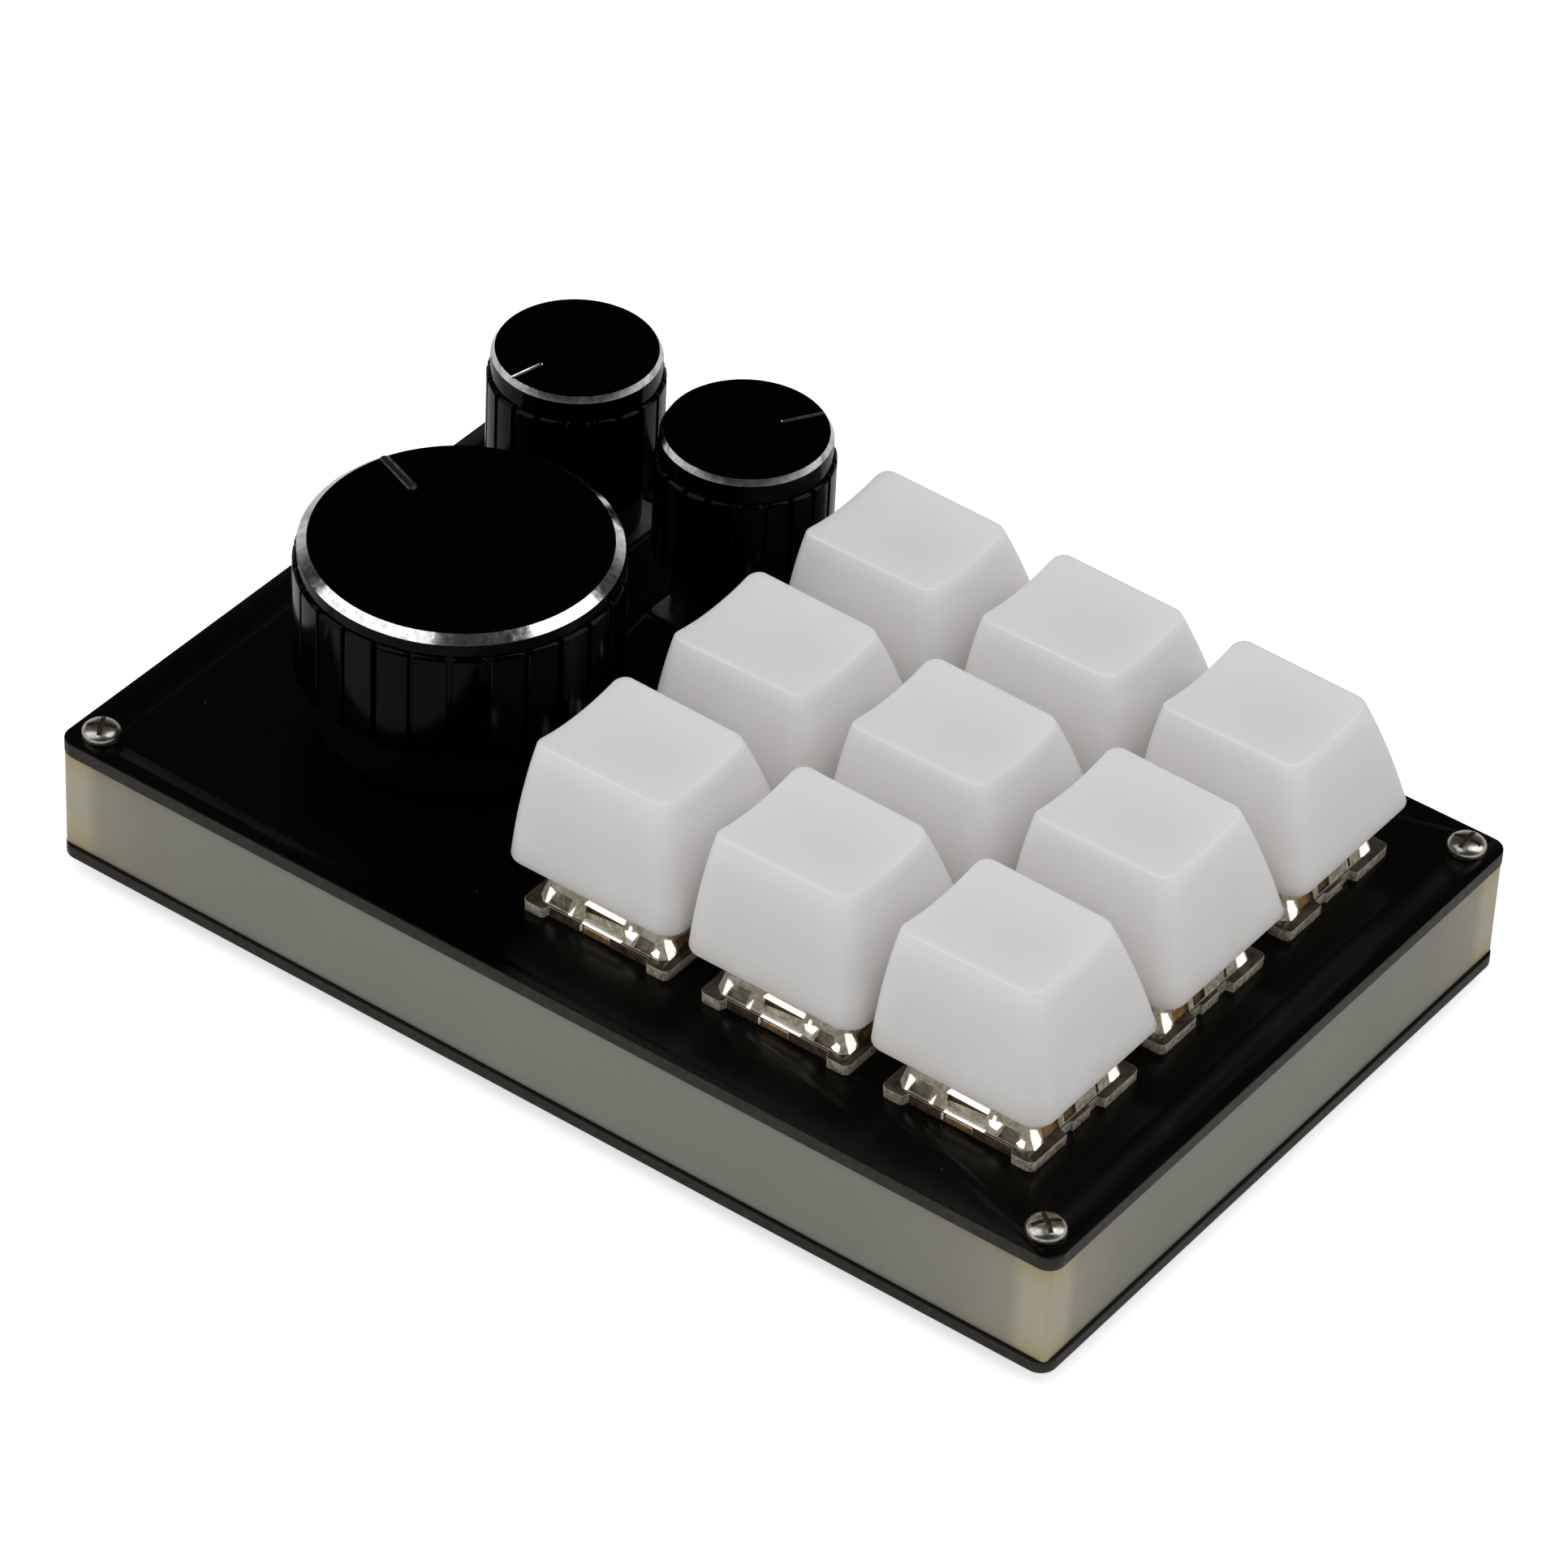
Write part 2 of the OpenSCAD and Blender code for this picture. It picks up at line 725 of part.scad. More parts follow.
module keycap(i) {
  front_w = cap_top_w - 0.4;
  dish_r = pow(cap_top_w / 2, 2) / (2 * cap_dish) + cap_dish / 2;
  inner_base = cap_base - 2 * cap_wall;
  inner_h = cap_h - cap_dish - cap_wall;
  inner_r = max(0.3, cap_base_r - cap_wall);
  middle_w = (cap_base + cap_top_w) / 2 + 2 * cap_bulge;
  middle_l = (cap_base + cap_top_l) / 2 + 2 * cap_bulge;
  middle_r = (cap_base_r + cap_top_r) / 2;
  spare = 0.2;
  lean = 2 * spare / cap_h;
  crown_w = cap_top_w - lean * (middle_w - cap_top_w);
  crown_l = cap_top_l - lean * (middle_l - cap_top_l);
  share = inner_h / cap_h;
  inner_w = cap_base - share * (cap_base - cap_top_w) - 2 * cap_wall;
  inner_l = cap_base - share * (cap_base - cap_top_l) - 2 * cap_wall;
  cap_z = plate_z + cap_gap;
  post_z = slider_top + slip - cap_z;
  color([0.85, 0.85, 0.86])
    translate([KEYS[i][0], KEYS[i][1], cap_z]) {
      difference() {
        hull() {
          cap_level(cap_base, cap_base, cap_base, cap_base_r, 0);
          translate([0, 0, cap_h / 2])
            cap_level(middle_w, middle_w, middle_l, middle_r, cap_setback / 2);
          translate([0, 0, cap_h + spare - 0.01])
            cap_level(crown_w, crown_w - cap_top_w + front_w, crown_l, cap_top_r, cap_setback);
        }
        hull() {
          translate([0, 0, -over])
            cap_level(inner_base, inner_base, inner_base, inner_r, 0);
          translate([0, 0, inner_h - 0.01])
            cap_level(inner_w, inner_w, inner_l, inner_r, share * cap_setback);
        }
        translate([0, 0, cap_h - cap_dish + dish_r])
          rotate([90, 0, 0])
            cylinder(r = dish_r, h = 2 * cap_base, center = true, $fn = 96);
      }
      difference() {
        translate([0, 0, post_z])
          cylinder(d = post_d, h = inner_h - post_z + over);
        translate([0, 0, post_z - over])
          for (turn = [0, 90])
            rotate([0, 0, turn])
              block(cross_span + 2 * snug, cross_t + 2 * snug, cross_h + slip + over);
      }
    }
}

// ---------- encoders ----------

// Outline of the shaft's keyed foot: a circle with two flats
module keyed(r, flat, h) {
  intersection() {
    cylinder(r = r, h = h);
    block(2 * flat, 2 * r, h);
  }
}

module encoder_bases() {
  ring_h = rotor_z - encoder_mid - slip;
  color([0.10, 0.10, 0.11])
    at_knobs() {
      difference() {
        translate([0, -encoder_offset, board_z])
          block(encoder_w, encoder_l, encoder_base_h);
        translate([0, 0, dome_top - dome_h])
          cylinder(r = key_r + 0.4, h = encoder_base_h);
      }
      translate([0, 0, encoder_mid - over])
        difference() {
          cylinder(r = key_r + 1.3, h = ring_h + over);
          translate([0, 0, -over])
            cylinder(r = key_r + 0.4, h = ring_h + 3 * over);
        }
    }
}

module encoder_covers() {
  height = encoder_z - encoder_mid;
  color([0.70, 0.70, 0.66])
    at_knobs()
      difference() {
        union() {
          translate([0, -encoder_offset, encoder_mid])
            round_block(encoder_w, encoder_l, height, 0.8);
          translate([0, 0, encoder_z - over])
            cylinder(d = bushing_d, h = bushing_h + over);
        }
        translate([0, 0, encoder_mid - over])
          cylinder(r = rotor_r + loose, h = height - cover_roof + over);
        translate([0, 0, encoder_mid])
          cylinder(d = shaft_d + 2 * slide_fit, h = height + bushing_h + over);
      }
}

module encoder_terminals() {
  color([0.80, 0.80, 0.78])
    at_knobs()
      at_terminals()
        translate([0, 0, board_z - terminal_l])
          block(contact_w, contact_t, terminal_l);
}

module encoder_click_domes() {
  step_r = key_r * 0.65;
  color([0.80, 0.80, 0.78])
    at_knobs()
      translate([0, 0, dome_top - dome_h]) {
        cylinder(r1 = key_r, r2 = step_r, h = dome_h * 0.7);
        translate([0, 0, dome_h * 0.7])
          cylinder(r1 = step_r, r2 = step_r / 2, h = dome_h * 0.3);
      }
}

module encoder_rotor(i) {
  color([0.90, 0.88, 0.80])
    translate([KNOBS[i][0], KNOBS[i][1], rotor_z])
      difference() {
        cylinder(r = rotor_r, h = rotor_t);
        translate([0, 0, -over])
          keyed(key_r + slide_fit, key_flat + slide_fit, rotor_t + 2 * over);
      }
}

module encoder_shaft(i) {
  shoulder_z = rotor_z + rotor_t + click_travel + slip;
  flat_z = encoder_z + bushing_h + 0.3;
  color([0.75, 0.75, 0.74])
    translate([KNOBS[i][0], KNOBS[i][1], 0]) {
      translate([0, 0, shaft_foot])
        keyed(key_r, key_flat, shoulder_z - shaft_foot + over);
      difference() {
        translate([0, 0, shoulder_z])
          cylinder(d = shaft_d, h = shaft_top - shoulder_z);
        translate([shaft_flat - shaft_d / 2, -shaft_d, flat_z])
          cube([shaft_d, 2 * shaft_d, shaft_l]);
      }
    }
}

// ---------- knobs ----------

module knob_core(i) {
  bottom_z = plate_z + core_gap;
  hub_r = shaft_d / 2 + 2;
  pocket_r = core_d(i) / 2 - 1.5;
  hole_top = shaft_top + slip;
  color([0.06, 0.06, 0.06])
    translate([KNOBS[i][0], KNOBS[i][1], 0])
      difference() {
        translate([0, 0, bottom_z])
          cylinder(d = core_d(i), h = shell_ceiling - bottom_z);
        translate([0, 0, bottom_z - over])
          cylinder(r = core_recess_r, h = core_recess_top - bottom_z + over);
        difference() {
          translate([0, 0, core_recess_top - over])
            cylinder(r = shaft_d / 2 + snug, h = hole_top - core_recess_top + over);
          translate([shaft_flat - shaft_d / 2 + snug, -shaft_d, core_recess_top])
            cube([shaft_d, 2 * shaft_d, shaft_l]);
        }
        if (pocket_r - hub_r > 2)
          translate([0, 0, bottom_z - over])
            difference() {
              cylinder(r = pocket_r, h = hole_top - bottom_z);
              translate([0, 0, -over])
                cylinder(r = hub_r, h = hole_top - bottom_z + 3 * over);
            }
      }
}

module knob_shell(i) {
  bottom_z = plate_z + shell_gap;
  top_z = plate_z + knob_top;
  ribs = rib_count(i);
  rib_h = top_z - collar_drop(i) - bottom_z;
  corner = rib_d(i) / 2 / cos(180 / ribs);
  color([0.05, 0.05, 0.05])
    translate([KNOBS[i][0], KNOBS[i][1], 0])
      difference() {
        union() {
          translate([0, 0, bottom_z])
            rotate([0, 0, rib_turn[i]])
              linear_extrude(height = rib_h)
                polygon([for (k = [0:ribs - 1])
                  [corner * cos(360 * k / ribs), corner * sin(360 * k / ribs)]]);
          translate([0, 0, bottom_z])
            cylinder(d = collar_d(i), h = top_z - rim_h(i) - bottom_z);
          translate([0, 0, top_z - rim_h(i)])
            cylinder(d1 = collar_d(i), d2 = collar_d(i) - 2 * rim_w(i), h = rim_h(i));
        }
        for (k = [0:ribs - 1])
          rotate([0, 0, rib_turn[i] + 360 * k / ribs])
            translate([corner, 0, bottom_z - over])
              block(2 * rib_depth, rib_groove, rib_h + over);
        translate([0, 0, bottom_z - over])
          cylinder(d = core_d(i) + 2 * snug, h = shell_ceiling - bottom_z + over);
        rotate([0, 0, pointer_turn[i]])
          translate([collar_d(i) / 2 - pointer_l[i] - rim_w(i), -pointer_w[i] / 2,
            top_z - pointer_depth])
            cube([pointer_l[i] + 2 * rim_w(i), pointer_w[i], 2 * pointer_depth]);
      }
}

bottom_plate();
side_frame();
top_plate();
standoffs();
top_screws();
bottom_screws();
rubber_feet();
circuit_board();
controller_chip();
usb_socket();
switch_leds();
hot_swap_sockets();
switch_bases();
switch_covers();
switch_contacts();
encoder_bases();
encoder_covers();
encoder_terminals();
encoder_click_domes();
for (i = [0:len(KEYS) - 1]) {
  keycap(i);
  key_stem(i);
  key_spring(i);
}
for (i = [0:len(KNOBS) - 1]) {
  encoder_rotor(i);
  encoder_shaft(i);
  knob_core(i);
  knob_shell(i);
}
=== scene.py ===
"""Looks of a macro keypad with three knobs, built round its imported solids.

Lengths are in metres, in the part's own frame: +X to the user's right, +Y away, +Z up.
"""

import math

import bmesh
import bpy
from bpy.props import FloatProperty, FloatVectorProperty, IntProperty, PointerProperty
from mathutils import Matrix, Vector


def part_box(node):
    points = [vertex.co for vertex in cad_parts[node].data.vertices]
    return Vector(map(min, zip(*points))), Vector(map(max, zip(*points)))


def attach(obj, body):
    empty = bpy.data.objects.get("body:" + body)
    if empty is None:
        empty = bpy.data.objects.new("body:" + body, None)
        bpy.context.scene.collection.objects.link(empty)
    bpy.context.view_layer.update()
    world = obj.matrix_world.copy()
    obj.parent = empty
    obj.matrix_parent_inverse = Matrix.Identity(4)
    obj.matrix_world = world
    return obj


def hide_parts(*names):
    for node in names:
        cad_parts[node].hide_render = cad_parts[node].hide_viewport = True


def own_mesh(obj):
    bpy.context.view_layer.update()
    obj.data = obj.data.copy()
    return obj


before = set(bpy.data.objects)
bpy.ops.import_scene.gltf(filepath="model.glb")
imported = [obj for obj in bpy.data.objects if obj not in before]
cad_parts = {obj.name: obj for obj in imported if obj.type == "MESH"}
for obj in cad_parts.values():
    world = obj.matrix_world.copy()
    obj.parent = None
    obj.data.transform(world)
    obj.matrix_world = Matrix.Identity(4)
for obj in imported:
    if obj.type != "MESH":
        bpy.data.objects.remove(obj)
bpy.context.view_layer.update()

bl_info = {
    "name": "Macro Keypad",
    "version": (1, 0, 0),
    "blender": (4, 5, 0),
    "location": "View3D > Sidebar > Keypad",
    "description": "Builds the looks of a macro keypad with keys and knobs",
    "category": "Object",
}

MM = 0.001
KEYS = range(1, 10)
KNOBS = range(1, 4)

# Sizes that the boxes of the solids do not give
STANDOFF = 3.4 * MM
SCREW_HOLE = 2.1 * MM
SWITCH_WINDOW = 14.0 * MM
ENCODER_WINDOW = (13.4 * MM, 12.4 * MM)
ENCODER_SETBACK = 0.5 * MM
BOARD = 1.6 * MM
FLANGE_RECESS = 0.7 * MM
FLANGE_CORNER = 2.3 * MM
LARGE_FACE = 40 * MM * MM


def low(node):
    """The lowest corner of a solid's box."""
    return Vector(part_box(node)[0])


def high(node):
    """The highest corner of a solid's box."""
    return Vector(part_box(node)[1])


def middle(node):
    """The centre of a solid's box."""
    return (low(node) + high(node)) / 2


# Heights and places that several pieces share, read from the solids
PLATE_TOP = high("top_plate").z
KEY_SPOTS = {i: middle(f"keycap_{i}").xy for i in KEYS}
KNOB_SPOTS = {i: middle(f"encoder_shaft_{i}").xy for i in KNOBS}
KEY_PITCH = KEY_SPOTS[2].x - KEY_SPOTS[1].x
KEY_MIDDLE = KEY_SPOTS[5]
SCREW_REACH = ((high("standoffs") - low("standoffs")).xy - Vector((STANDOFF, STANDOFF))) / 2


# ---------------------------------------------------------------- sizes and colours


def length(name, description, default, top=0.02):
    return FloatProperty(
        name=name, description=description, default=default, min=0.0, max=top,
        subtype="DISTANCE", unit="LENGTH", precision=5,
    )


def share(name, description, default, top=1.0):
    return FloatProperty(name=name, description=description, default=default, min=0.0, max=top)


def power(name, description, default):
    return FloatProperty(
        name=name, description=description, default=default, min=0.0, unit="POWER")


def tally(name, description, default):
    return IntProperty(name=name, description=description, default=default, min=8, max=60)


def paint(name, description, default):
    return FloatVectorProperty(
        name=name, description=description, default=default, size=3, min=0.0, max=1.0,
        subtype="COLOR",
    )


class StageSettings(bpy.types.PropertyGroup):
    """The floor, the lamps and the camera."""

    floor_colour: paint("Floor", "Colour of the floor", (0.93, 0.93, 0.93))
    horizon: share("Horizon", "Strength of the light from low all round", 0.68, 4.0)
    zenith: share("Zenith", "Strength of the light from above", 0.04, 4.0)
    soft_boxes: power("Soft boxes", "Power of each of the two soft boxes", 3.75)
    top_lamp: power("Top lamp", "Power of the wide lamp overhead", 0.7)
    front_lamp: power("Front lamp", "Power of the wide lamp in front", 2.2)
    glow: share("Floor glow", "Light added to the floor where the camera sees it", 0.62, 4.0)
    lens: FloatProperty(
        name="Lens", description="Focal length of the camera", default=178.46, min=10.0,
        unit="CAMERA")


class CaseSettings(bpy.types.PropertyGroup):
    """The two plates, the frame between them and the screws."""

    corner: length("Corner", "Corner radius of the plates", 1.6 * MM)
    frame_corner: length("Frame corner", "Corner radius of the frosted frame", 0.5 * MM)
    frame_wall: length("Frame wall", "Wall of the frosted frame", 4.2 * MM)
    frame_pad: length("Frame pad", "Side of the solid corners of the frosted frame", 6.15 * MM)
    inlet_skin: length("Inlet skin", "Wall of the frame at the inlet", 1.2 * MM)
    pocket_room: length("Pocket room", "Width of the inlet's pocket past the inlet", 5 * MM)
    plate_edge: length("Plate edge", "Width of the broken edges of a plate", 0.12 * MM)
    plate_colour: paint("Plate", "Colour of both plates", (0.0008, 0.0008, 0.0008))
    edge_colour: paint("Plate edge colour", "Colour of the plates' cut outer edge",
                       (0.028, 0.026, 0.020))
    frame_colour: paint("Frame", "Colour of the frosted frame between the corners",
                        (0.262, 0.257, 0.217))
    corner_colour: paint("Frame corner", "Colour of the frosted frame over the brass standoffs",
                         (0.51, 0.46, 0.34))
    screw_colour: paint("Screws", "Colour of the screws", (0.60, 0.57, 0.51))


class KeycapSettings(bpy.types.PropertyGroup):
    """The nine keycaps."""

    top_width: length("Top width", "Width of a keycap's top at the back", 12.3 * MM)
    top_length: length("Top length", "Length of a keycap's top", 13.7 * MM)
    setback: length("Setback", "How far the top is set back from the key's centre", 1.5 * MM)
    dish: length("Dish", "Depth of the dish in the top", 0.75 * MM)
    foot_corner: length("Lower corner", "Radius of the lower corners", 2.0 * MM)
    top_corner: length("Upper corner", "Radius of the upper corners", 1.2 * MM)
    bulge: length("Bulge", "How far the sides bulge outwards halfway up", 0.2 * MM)
    edge: length("Edge", "Radius of the edge round the top", 0.25 * MM)
    wall: length("Wall", "Wall of a keycap", 1.4 * MM)
    colour: paint("Colour", "Colour of the keycaps", (0.92, 0.92, 0.93))


class SwitchSettings(bpy.types.PropertyGroup):
    """The clear switch housings and their contacts."""

    flange: length("Flange", "Side of the flange on the plate", 15.6 * MM)
    flange_height: length("Flange height", "Height of the flange", 1.0 * MM)
    cover_base: length("Cover foot", "Side of the cover at the flange", 13.8 * MM)
    cover_top: length("Cover top", "Side of the cover at its top", 11.0 * MM)
    plastic: paint("Plastic", "Tint of the clear plastic", (0.90, 0.83, 0.67))
    # Painted glints: how brightly the facets of the clear plastic glow
    glint_paint_glow: share("Painted glint glow", "Glow of the painted glints on the plastic's facets", 0.85)
    copper: paint("Contacts", "Colour of the contact springs", (0.50, 0.29, 0.11))


class KnobSettings(bpy.types.PropertyGroup):
    """The three knobs."""

    large_ribs: tally("Large ribs", "Ribs round the large knob", 27)
    small_ribs: tally("Small ribs", "Ribs round a small knob", 20)
    rib_gap: length("Rib gap", "Width of the groove between two ribs", 0.42 * MM)
    disc_colour: paint("Disc", "Colour of the polished disc", (0.0003, 0.0003, 0.0003))
    body_colour: paint("Body", "Colour of the anodised sides", (0.0004, 0.0004, 0.0004))
    cut_colour: paint("Cut edge", "Colour of the bright cut edge", (0.82, 0.81, 0.79))


# ---------------------------------------------------------------- finishes


def put_node(tree, kind, inputs=(), **options):
    """Adds a node with its options, and its inputs as constants or the outputs of other nodes."""
    node = tree.nodes.new(kind)
    for option, value in options.items():
        setattr(node, option, value)
    for socket, value in dict(inputs).items():
        if isinstance(value, bpy.types.NodeSocket):
            tree.links.new(value, node.inputs[socket])
        else:
            node.inputs[socket].default_value = value
    return node


class Finish:
    """A material of the keypad: one shader and the patterns that drive it."""

    def __init__(self, name, colour, roughness, metallic=0.0, **sockets):
        self.material = bpy.data.materials.new(name)
        self.material.use_nodes = True
        self.tree = self.material.node_tree
        self.shader = self.tree.nodes["Principled BSDF"]
        self.place = self.put("ShaderNodeTexCoord").outputs["Object"]
        self.set("Base Color", (*colour, 1.0))
        self.set("Roughness", roughness)
        self.set("Metallic", metallic)
        for socket, value in sockets.items():
            self.set(socket.replace("_", " "), value)

    def set(self, socket, value):
        """Gives a socket of the shader a constant or the output of a pattern."""
        target = self.shader.inputs[socket]
        if isinstance(value, bpy.types.NodeSocket):
            self.tree.links.new(value, target)
        else:
            target.default_value = value
        return self

    def put(self, kind, inputs=(), **options):
        return put_node(self.tree, kind, inputs, **options)

    def noise(self, size, detail=2.0, place=None, distortion=0.0):
        """A cloudy pattern from 0 to 1 whose blotches are about size across."""
        return self.put("ShaderNodeTexNoise", {
            "Vector": place or self.place, "Scale": 1.0 / size, "Detail": detail,
            "Distortion": distortion,
        }).outputs["Fac"]

    def spread(self, value, start, end, low_value=0.0, high_value=1.0):
        """Maps a pattern from one range to another, clamped."""
        return self.put("ShaderNodeMapRange", {
            "Value": value, "From Min": start, "From Max": end, "To Min": low_value,
            "To Max": high_value,
        }).outputs["Result"]

    def sum(self, kind, first, second):
        """A Math node on two values."""
        return self.put("ShaderNodeMath", {0: first, 1: second}, operation=kind).outputs[0]

    def blend(self, amount, first, second):
        """Mixes two colours by a pattern."""
        node = self.put("ShaderNodeMix", data_type="RGBA")
        for socket, value in (("Factor_Float", amount), ("A_Color", first), ("B_Color", second)):
            target = next(i for i in node.inputs if i.identifier == socket)
            if isinstance(value, bpy.types.NodeSocket):
                self.tree.links.new(value, target)
            else:
                target.default_value = value if len(value) == 4 else (*value, 1.0)
        return next(o for o in node.outputs if o.identifier == "Result_Color")

    def ramp(self, value, stops):
        """Maps a pattern from 0 to 1 to colours, given as (place, colour)."""
        node = self.put("ShaderNodeValToRGB", {"Fac": value})
        marks = node.color_ramp.elements
        while len(marks) < len(stops):
            marks.new(0.5)
        for mark, (place, colour) in zip(marks, stops):
            mark.position = place
            mark.color = (*colour, 1.0)
        return node.outputs["Color"]

    def axes(self):
        """The three coordinates of the place, as separate patterns."""
        return self.put("ShaderNodeSeparateXYZ", {"Vector": self.place}).outputs

    def relief(self, height, depth, strength=1.0):
        """Raises the surface by a pattern, up to depth."""
        node = self.put("ShaderNodeBump", {
            "Height": height, "Distance": depth, "Strength": strength,
        })
        return self.set("Normal", node.outputs["Normal"])

    def wear(self, size, detail, smoothest, roughest):
        """Lets the roughness drift between two values."""
        return self.set("Roughness", self.spread(self.noise(size, detail), 0.3, 0.7, smoothest,
                                                 roughest))

    def grain(self, size, detail, depth):
        """Raises a fine grain on the surface."""
        return self.relief(self.noise(size, detail), depth)

    def vary(self, colour, swing, roughness, rough_swing, cloud, grain, depth):
        """Clouds in colour and roughness, with a fine grain on the surface."""
        clouds = self.spread(self.noise(cloud, 4.0), 0.3, 0.7)
        self.set("Base Color", self.blend(clouds, shade(colour, 1 - swing),
                                          shade(colour, 1 + swing)))
        rough = self.spread(self.noise(cloud * 0.6, 5.0), 0.25, 0.75, roughness - rough_swing,
                            roughness + rough_swing)
        self.set("Roughness", rough)
        return self.grain(grain, 3.0, depth)


def shade(colour, factor):
    """A colour made darker or lighter, kept under 1."""
    return tuple(min(1.0, c * factor) for c in colour)


def tint(colour, factors):
    """A colour with a factor on each channel."""
    return tuple(c * f for c, f in zip(colour, factors))


def plate_finish(settings):
    """Satin black plate: a fine blasted grain, faint clouds and a few specks of dust."""
    colour = tuple(settings.plate_colour)
    finish = Finish("satin_black_plate", colour, 0.3, Specular_IOR_Level=0.20,
                    Specular_Tint=(1.0, 0.90, 0.80, 1.0))
    finish.vary(colour, 0.25, 0.24, 0.03, 9 * MM, 0.09 * MM, 0.0015 * MM)
    specks = finish.put("ShaderNodeTexVoronoi", {"Vector": finish.place, "Scale": 1 / (5.5 * MM)},
                        feature="F1").outputs["Distance"]
    dust = finish.spread(specks, 0.008, 0.014, 1.0, 0.0)
    clouds = finish.blend(finish.noise(12 * MM), shade(colour, 0.8), shade(colour, 1.25))
    finish.set("Base Color", finish.blend(dust, clouds, (0.16, 0.16, 0.15)))
    return finish.material


def frame_finish(settings):
    """Frosted acrylic: milky and even, warmer and paler over the standoffs in the corners."""
    colour, warm = tuple(settings.frame_colour), tuple(settings.corner_colour)
    finish = Finish("frosted_acrylic", colour, 0.42, IOR=1.49, Specular_IOR_Level=0.35,
                    Subsurface_Weight=0.25, Subsurface_Scale=0.004,
                    Subsurface_Radius=(1.0, 0.95, 0.8))
    axes = finish.axes()
    reach = high("side_frame")
    sideways = finish.sum("SUBTRACT", reach.x, finish.sum("ABSOLUTE", axes["X"], 0.0))
    along = finish.sum("SUBTRACT", reach.y, finish.sum("ABSOLUTE", axes["Y"], 0.0))
    near = finish.spread(finish.sum("ADD", sideways, along), 0.0, 20 * MM)
    fade = ((0.125, 1.0), (0.20, 0.36), (0.50, 0.08), (1.0, 0.0))
    ghost = finish.ramp(near, [(place, (strength,) * 3) for place, strength in fade])
    milk = finish.blend(finish.noise(14 * MM, 3.0), shade(colour, 0.93), shade(colour, 1.07))
    waist = (low("side_frame").z + high("side_frame").z) / 2
    ends = finish.spread(finish.sum("ABSOLUTE", finish.sum("SUBTRACT", axes["Z"], waist), 0.0),
                         2.4 * MM, 4.2 * MM)
    brass = tint(warm, (0.94, 0.90, 0.72))
    finish.set("Base Color", finish.blend(ghost, milk, finish.blend(ends, warm, brass)))
    finish.set("Roughness", finish.spread(finish.noise(3 * MM, 5.0), 0.2, 0.8, 0.38, 0.5))
    finish.grain(0.12 * MM, 2.0, 0.004 * MM)
    return finish.material


def nickel_finish(settings):
    """Plated screw: bright, with dull specks left by handling."""
    colour = tuple(settings.screw_colour)
    finish = Finish("nickel_plate", colour, 0.28, 1.0)
    specks = finish.spread(finish.noise(0.5 * MM, 3.0), 0.45, 0.70)
    finish.set("Base Color", finish.blend(specks, colour, shade(colour, 0.72)))
    finish.wear(0.5 * MM, 3.0, 0.20, 0.34)
    finish.grain(0.5 * MM, 2.0, 0.006 * MM)
    return finish.material


def cap_finish(settings):
    """Milky keycap plastic: light goes a little way in, and the face has a very fine texture."""
    colour = tuple(settings.colour)
    finish = Finish("milky_cap_plastic", colour, 0.42, IOR=1.46, Specular_IOR_Level=0.30,
                    Subsurface_Weight=0.5, Subsurface_Scale=0.003,
                    Subsurface_Radius=(1.0, 0.95, 0.88))
    foot, head = low("keycap_1").z, high("keycap_1").z
    # Painted shade: the colour darkens and warms towards the cap's foot and is full near the top
    warmer = ((0.02, (0.79, 0.75, 0.70)), (0.22, (0.89, 0.86, 0.83)), (0.50, (0.91, 0.88, 0.86)),
              (0.70, (0.95, 0.92, 0.90)), (0.92, (1.0, 1.0, 1.0)))
    base = finish.ramp(finish.spread(finish.axes()["Z"], foot, head),
                       [(place, tint(colour, factors)) for place, factors in warmer])
    clouds = finish.spread(finish.noise(6 * MM, 3.0), 0.3, 0.7, 0.0, 0.35)
    finish.set("Base Color", finish.blend(clouds, base, shade(colour, 0.96)))
    finish.wear(2 * MM, 4.0, 0.36, 0.48)
    finish.grain(0.10 * MM, 3.0, 0.003 * MM)
    return finish.material


def clear_finish(name, colour, clarity, depth, blotch, roughness=0.07):
    """Clear moulded plastic. clarity is the share of light let through, depth how much the blotches
    of bent light darken it."""
    finish = Finish(name, colour, roughness, IOR=1.50, Transmission_Weight=clarity)
    bent = finish.spread(finish.noise(blotch, 2.0, distortion=1.6), 0.38, 0.62)
    dark = tint(shade(colour, 1 - depth), (1.0, 0.93, 0.83))
    finish.set("Base Color", finish.blend(bent, dark, colour))
    finish.wear(0.8 * MM, 3.0, roughness * 0.5, roughness * 1.8)
    finish.grain(0.6 * MM, 1.0, 0.010 * MM)
    return finish.material


def cut_finish(settings):
    """Edge cut by a diamond tool: bright, mottled along the cut."""
    colour = tuple(settings.cut_colour)
    finish = Finish("bright_cut_edge", colour, 0.16, 1.0)
    mottle = finish.spread(finish.noise(0.6 * MM, 4.0, distortion=0.4), 0.45, 0.65)
    finish.set("Base Color", finish.blend(mottle, colour, shade(colour, 0.72)))
    finish.wear(0.7 * MM, 4.0, 0.08, 0.20)
    finish.grain(0.5 * MM, 2.0, 0.003 * MM)
    return finish.material


def disc_finish(settings):
    """Polished black disc with a few fine scratches."""
    colour = tuple(settings.disc_colour)
    finish = Finish("polished_black_disc", colour, 0.16, Specular_IOR_Level=0.03)
    stretched = finish.put("ShaderNodeMapping", {
        "Vector": finish.place, "Scale": (1.0, 14.0, 1.0), "Rotation": (0.0, 0.0, 0.6),
    }).outputs["Vector"]
    scratches = finish.spread(finish.noise(1.6 * MM, 2.0, stretched), 0.66, 0.72)
    finish.set("Roughness", finish.spread(scratches, 0.0, 1.0, 0.14, 0.34))
    finish.set("Base Color", finish.blend(finish.noise(5 * MM), colour, shade(colour, 1.6)))
    finish.relief(scratches, 0.002 * MM)
    return finish.material


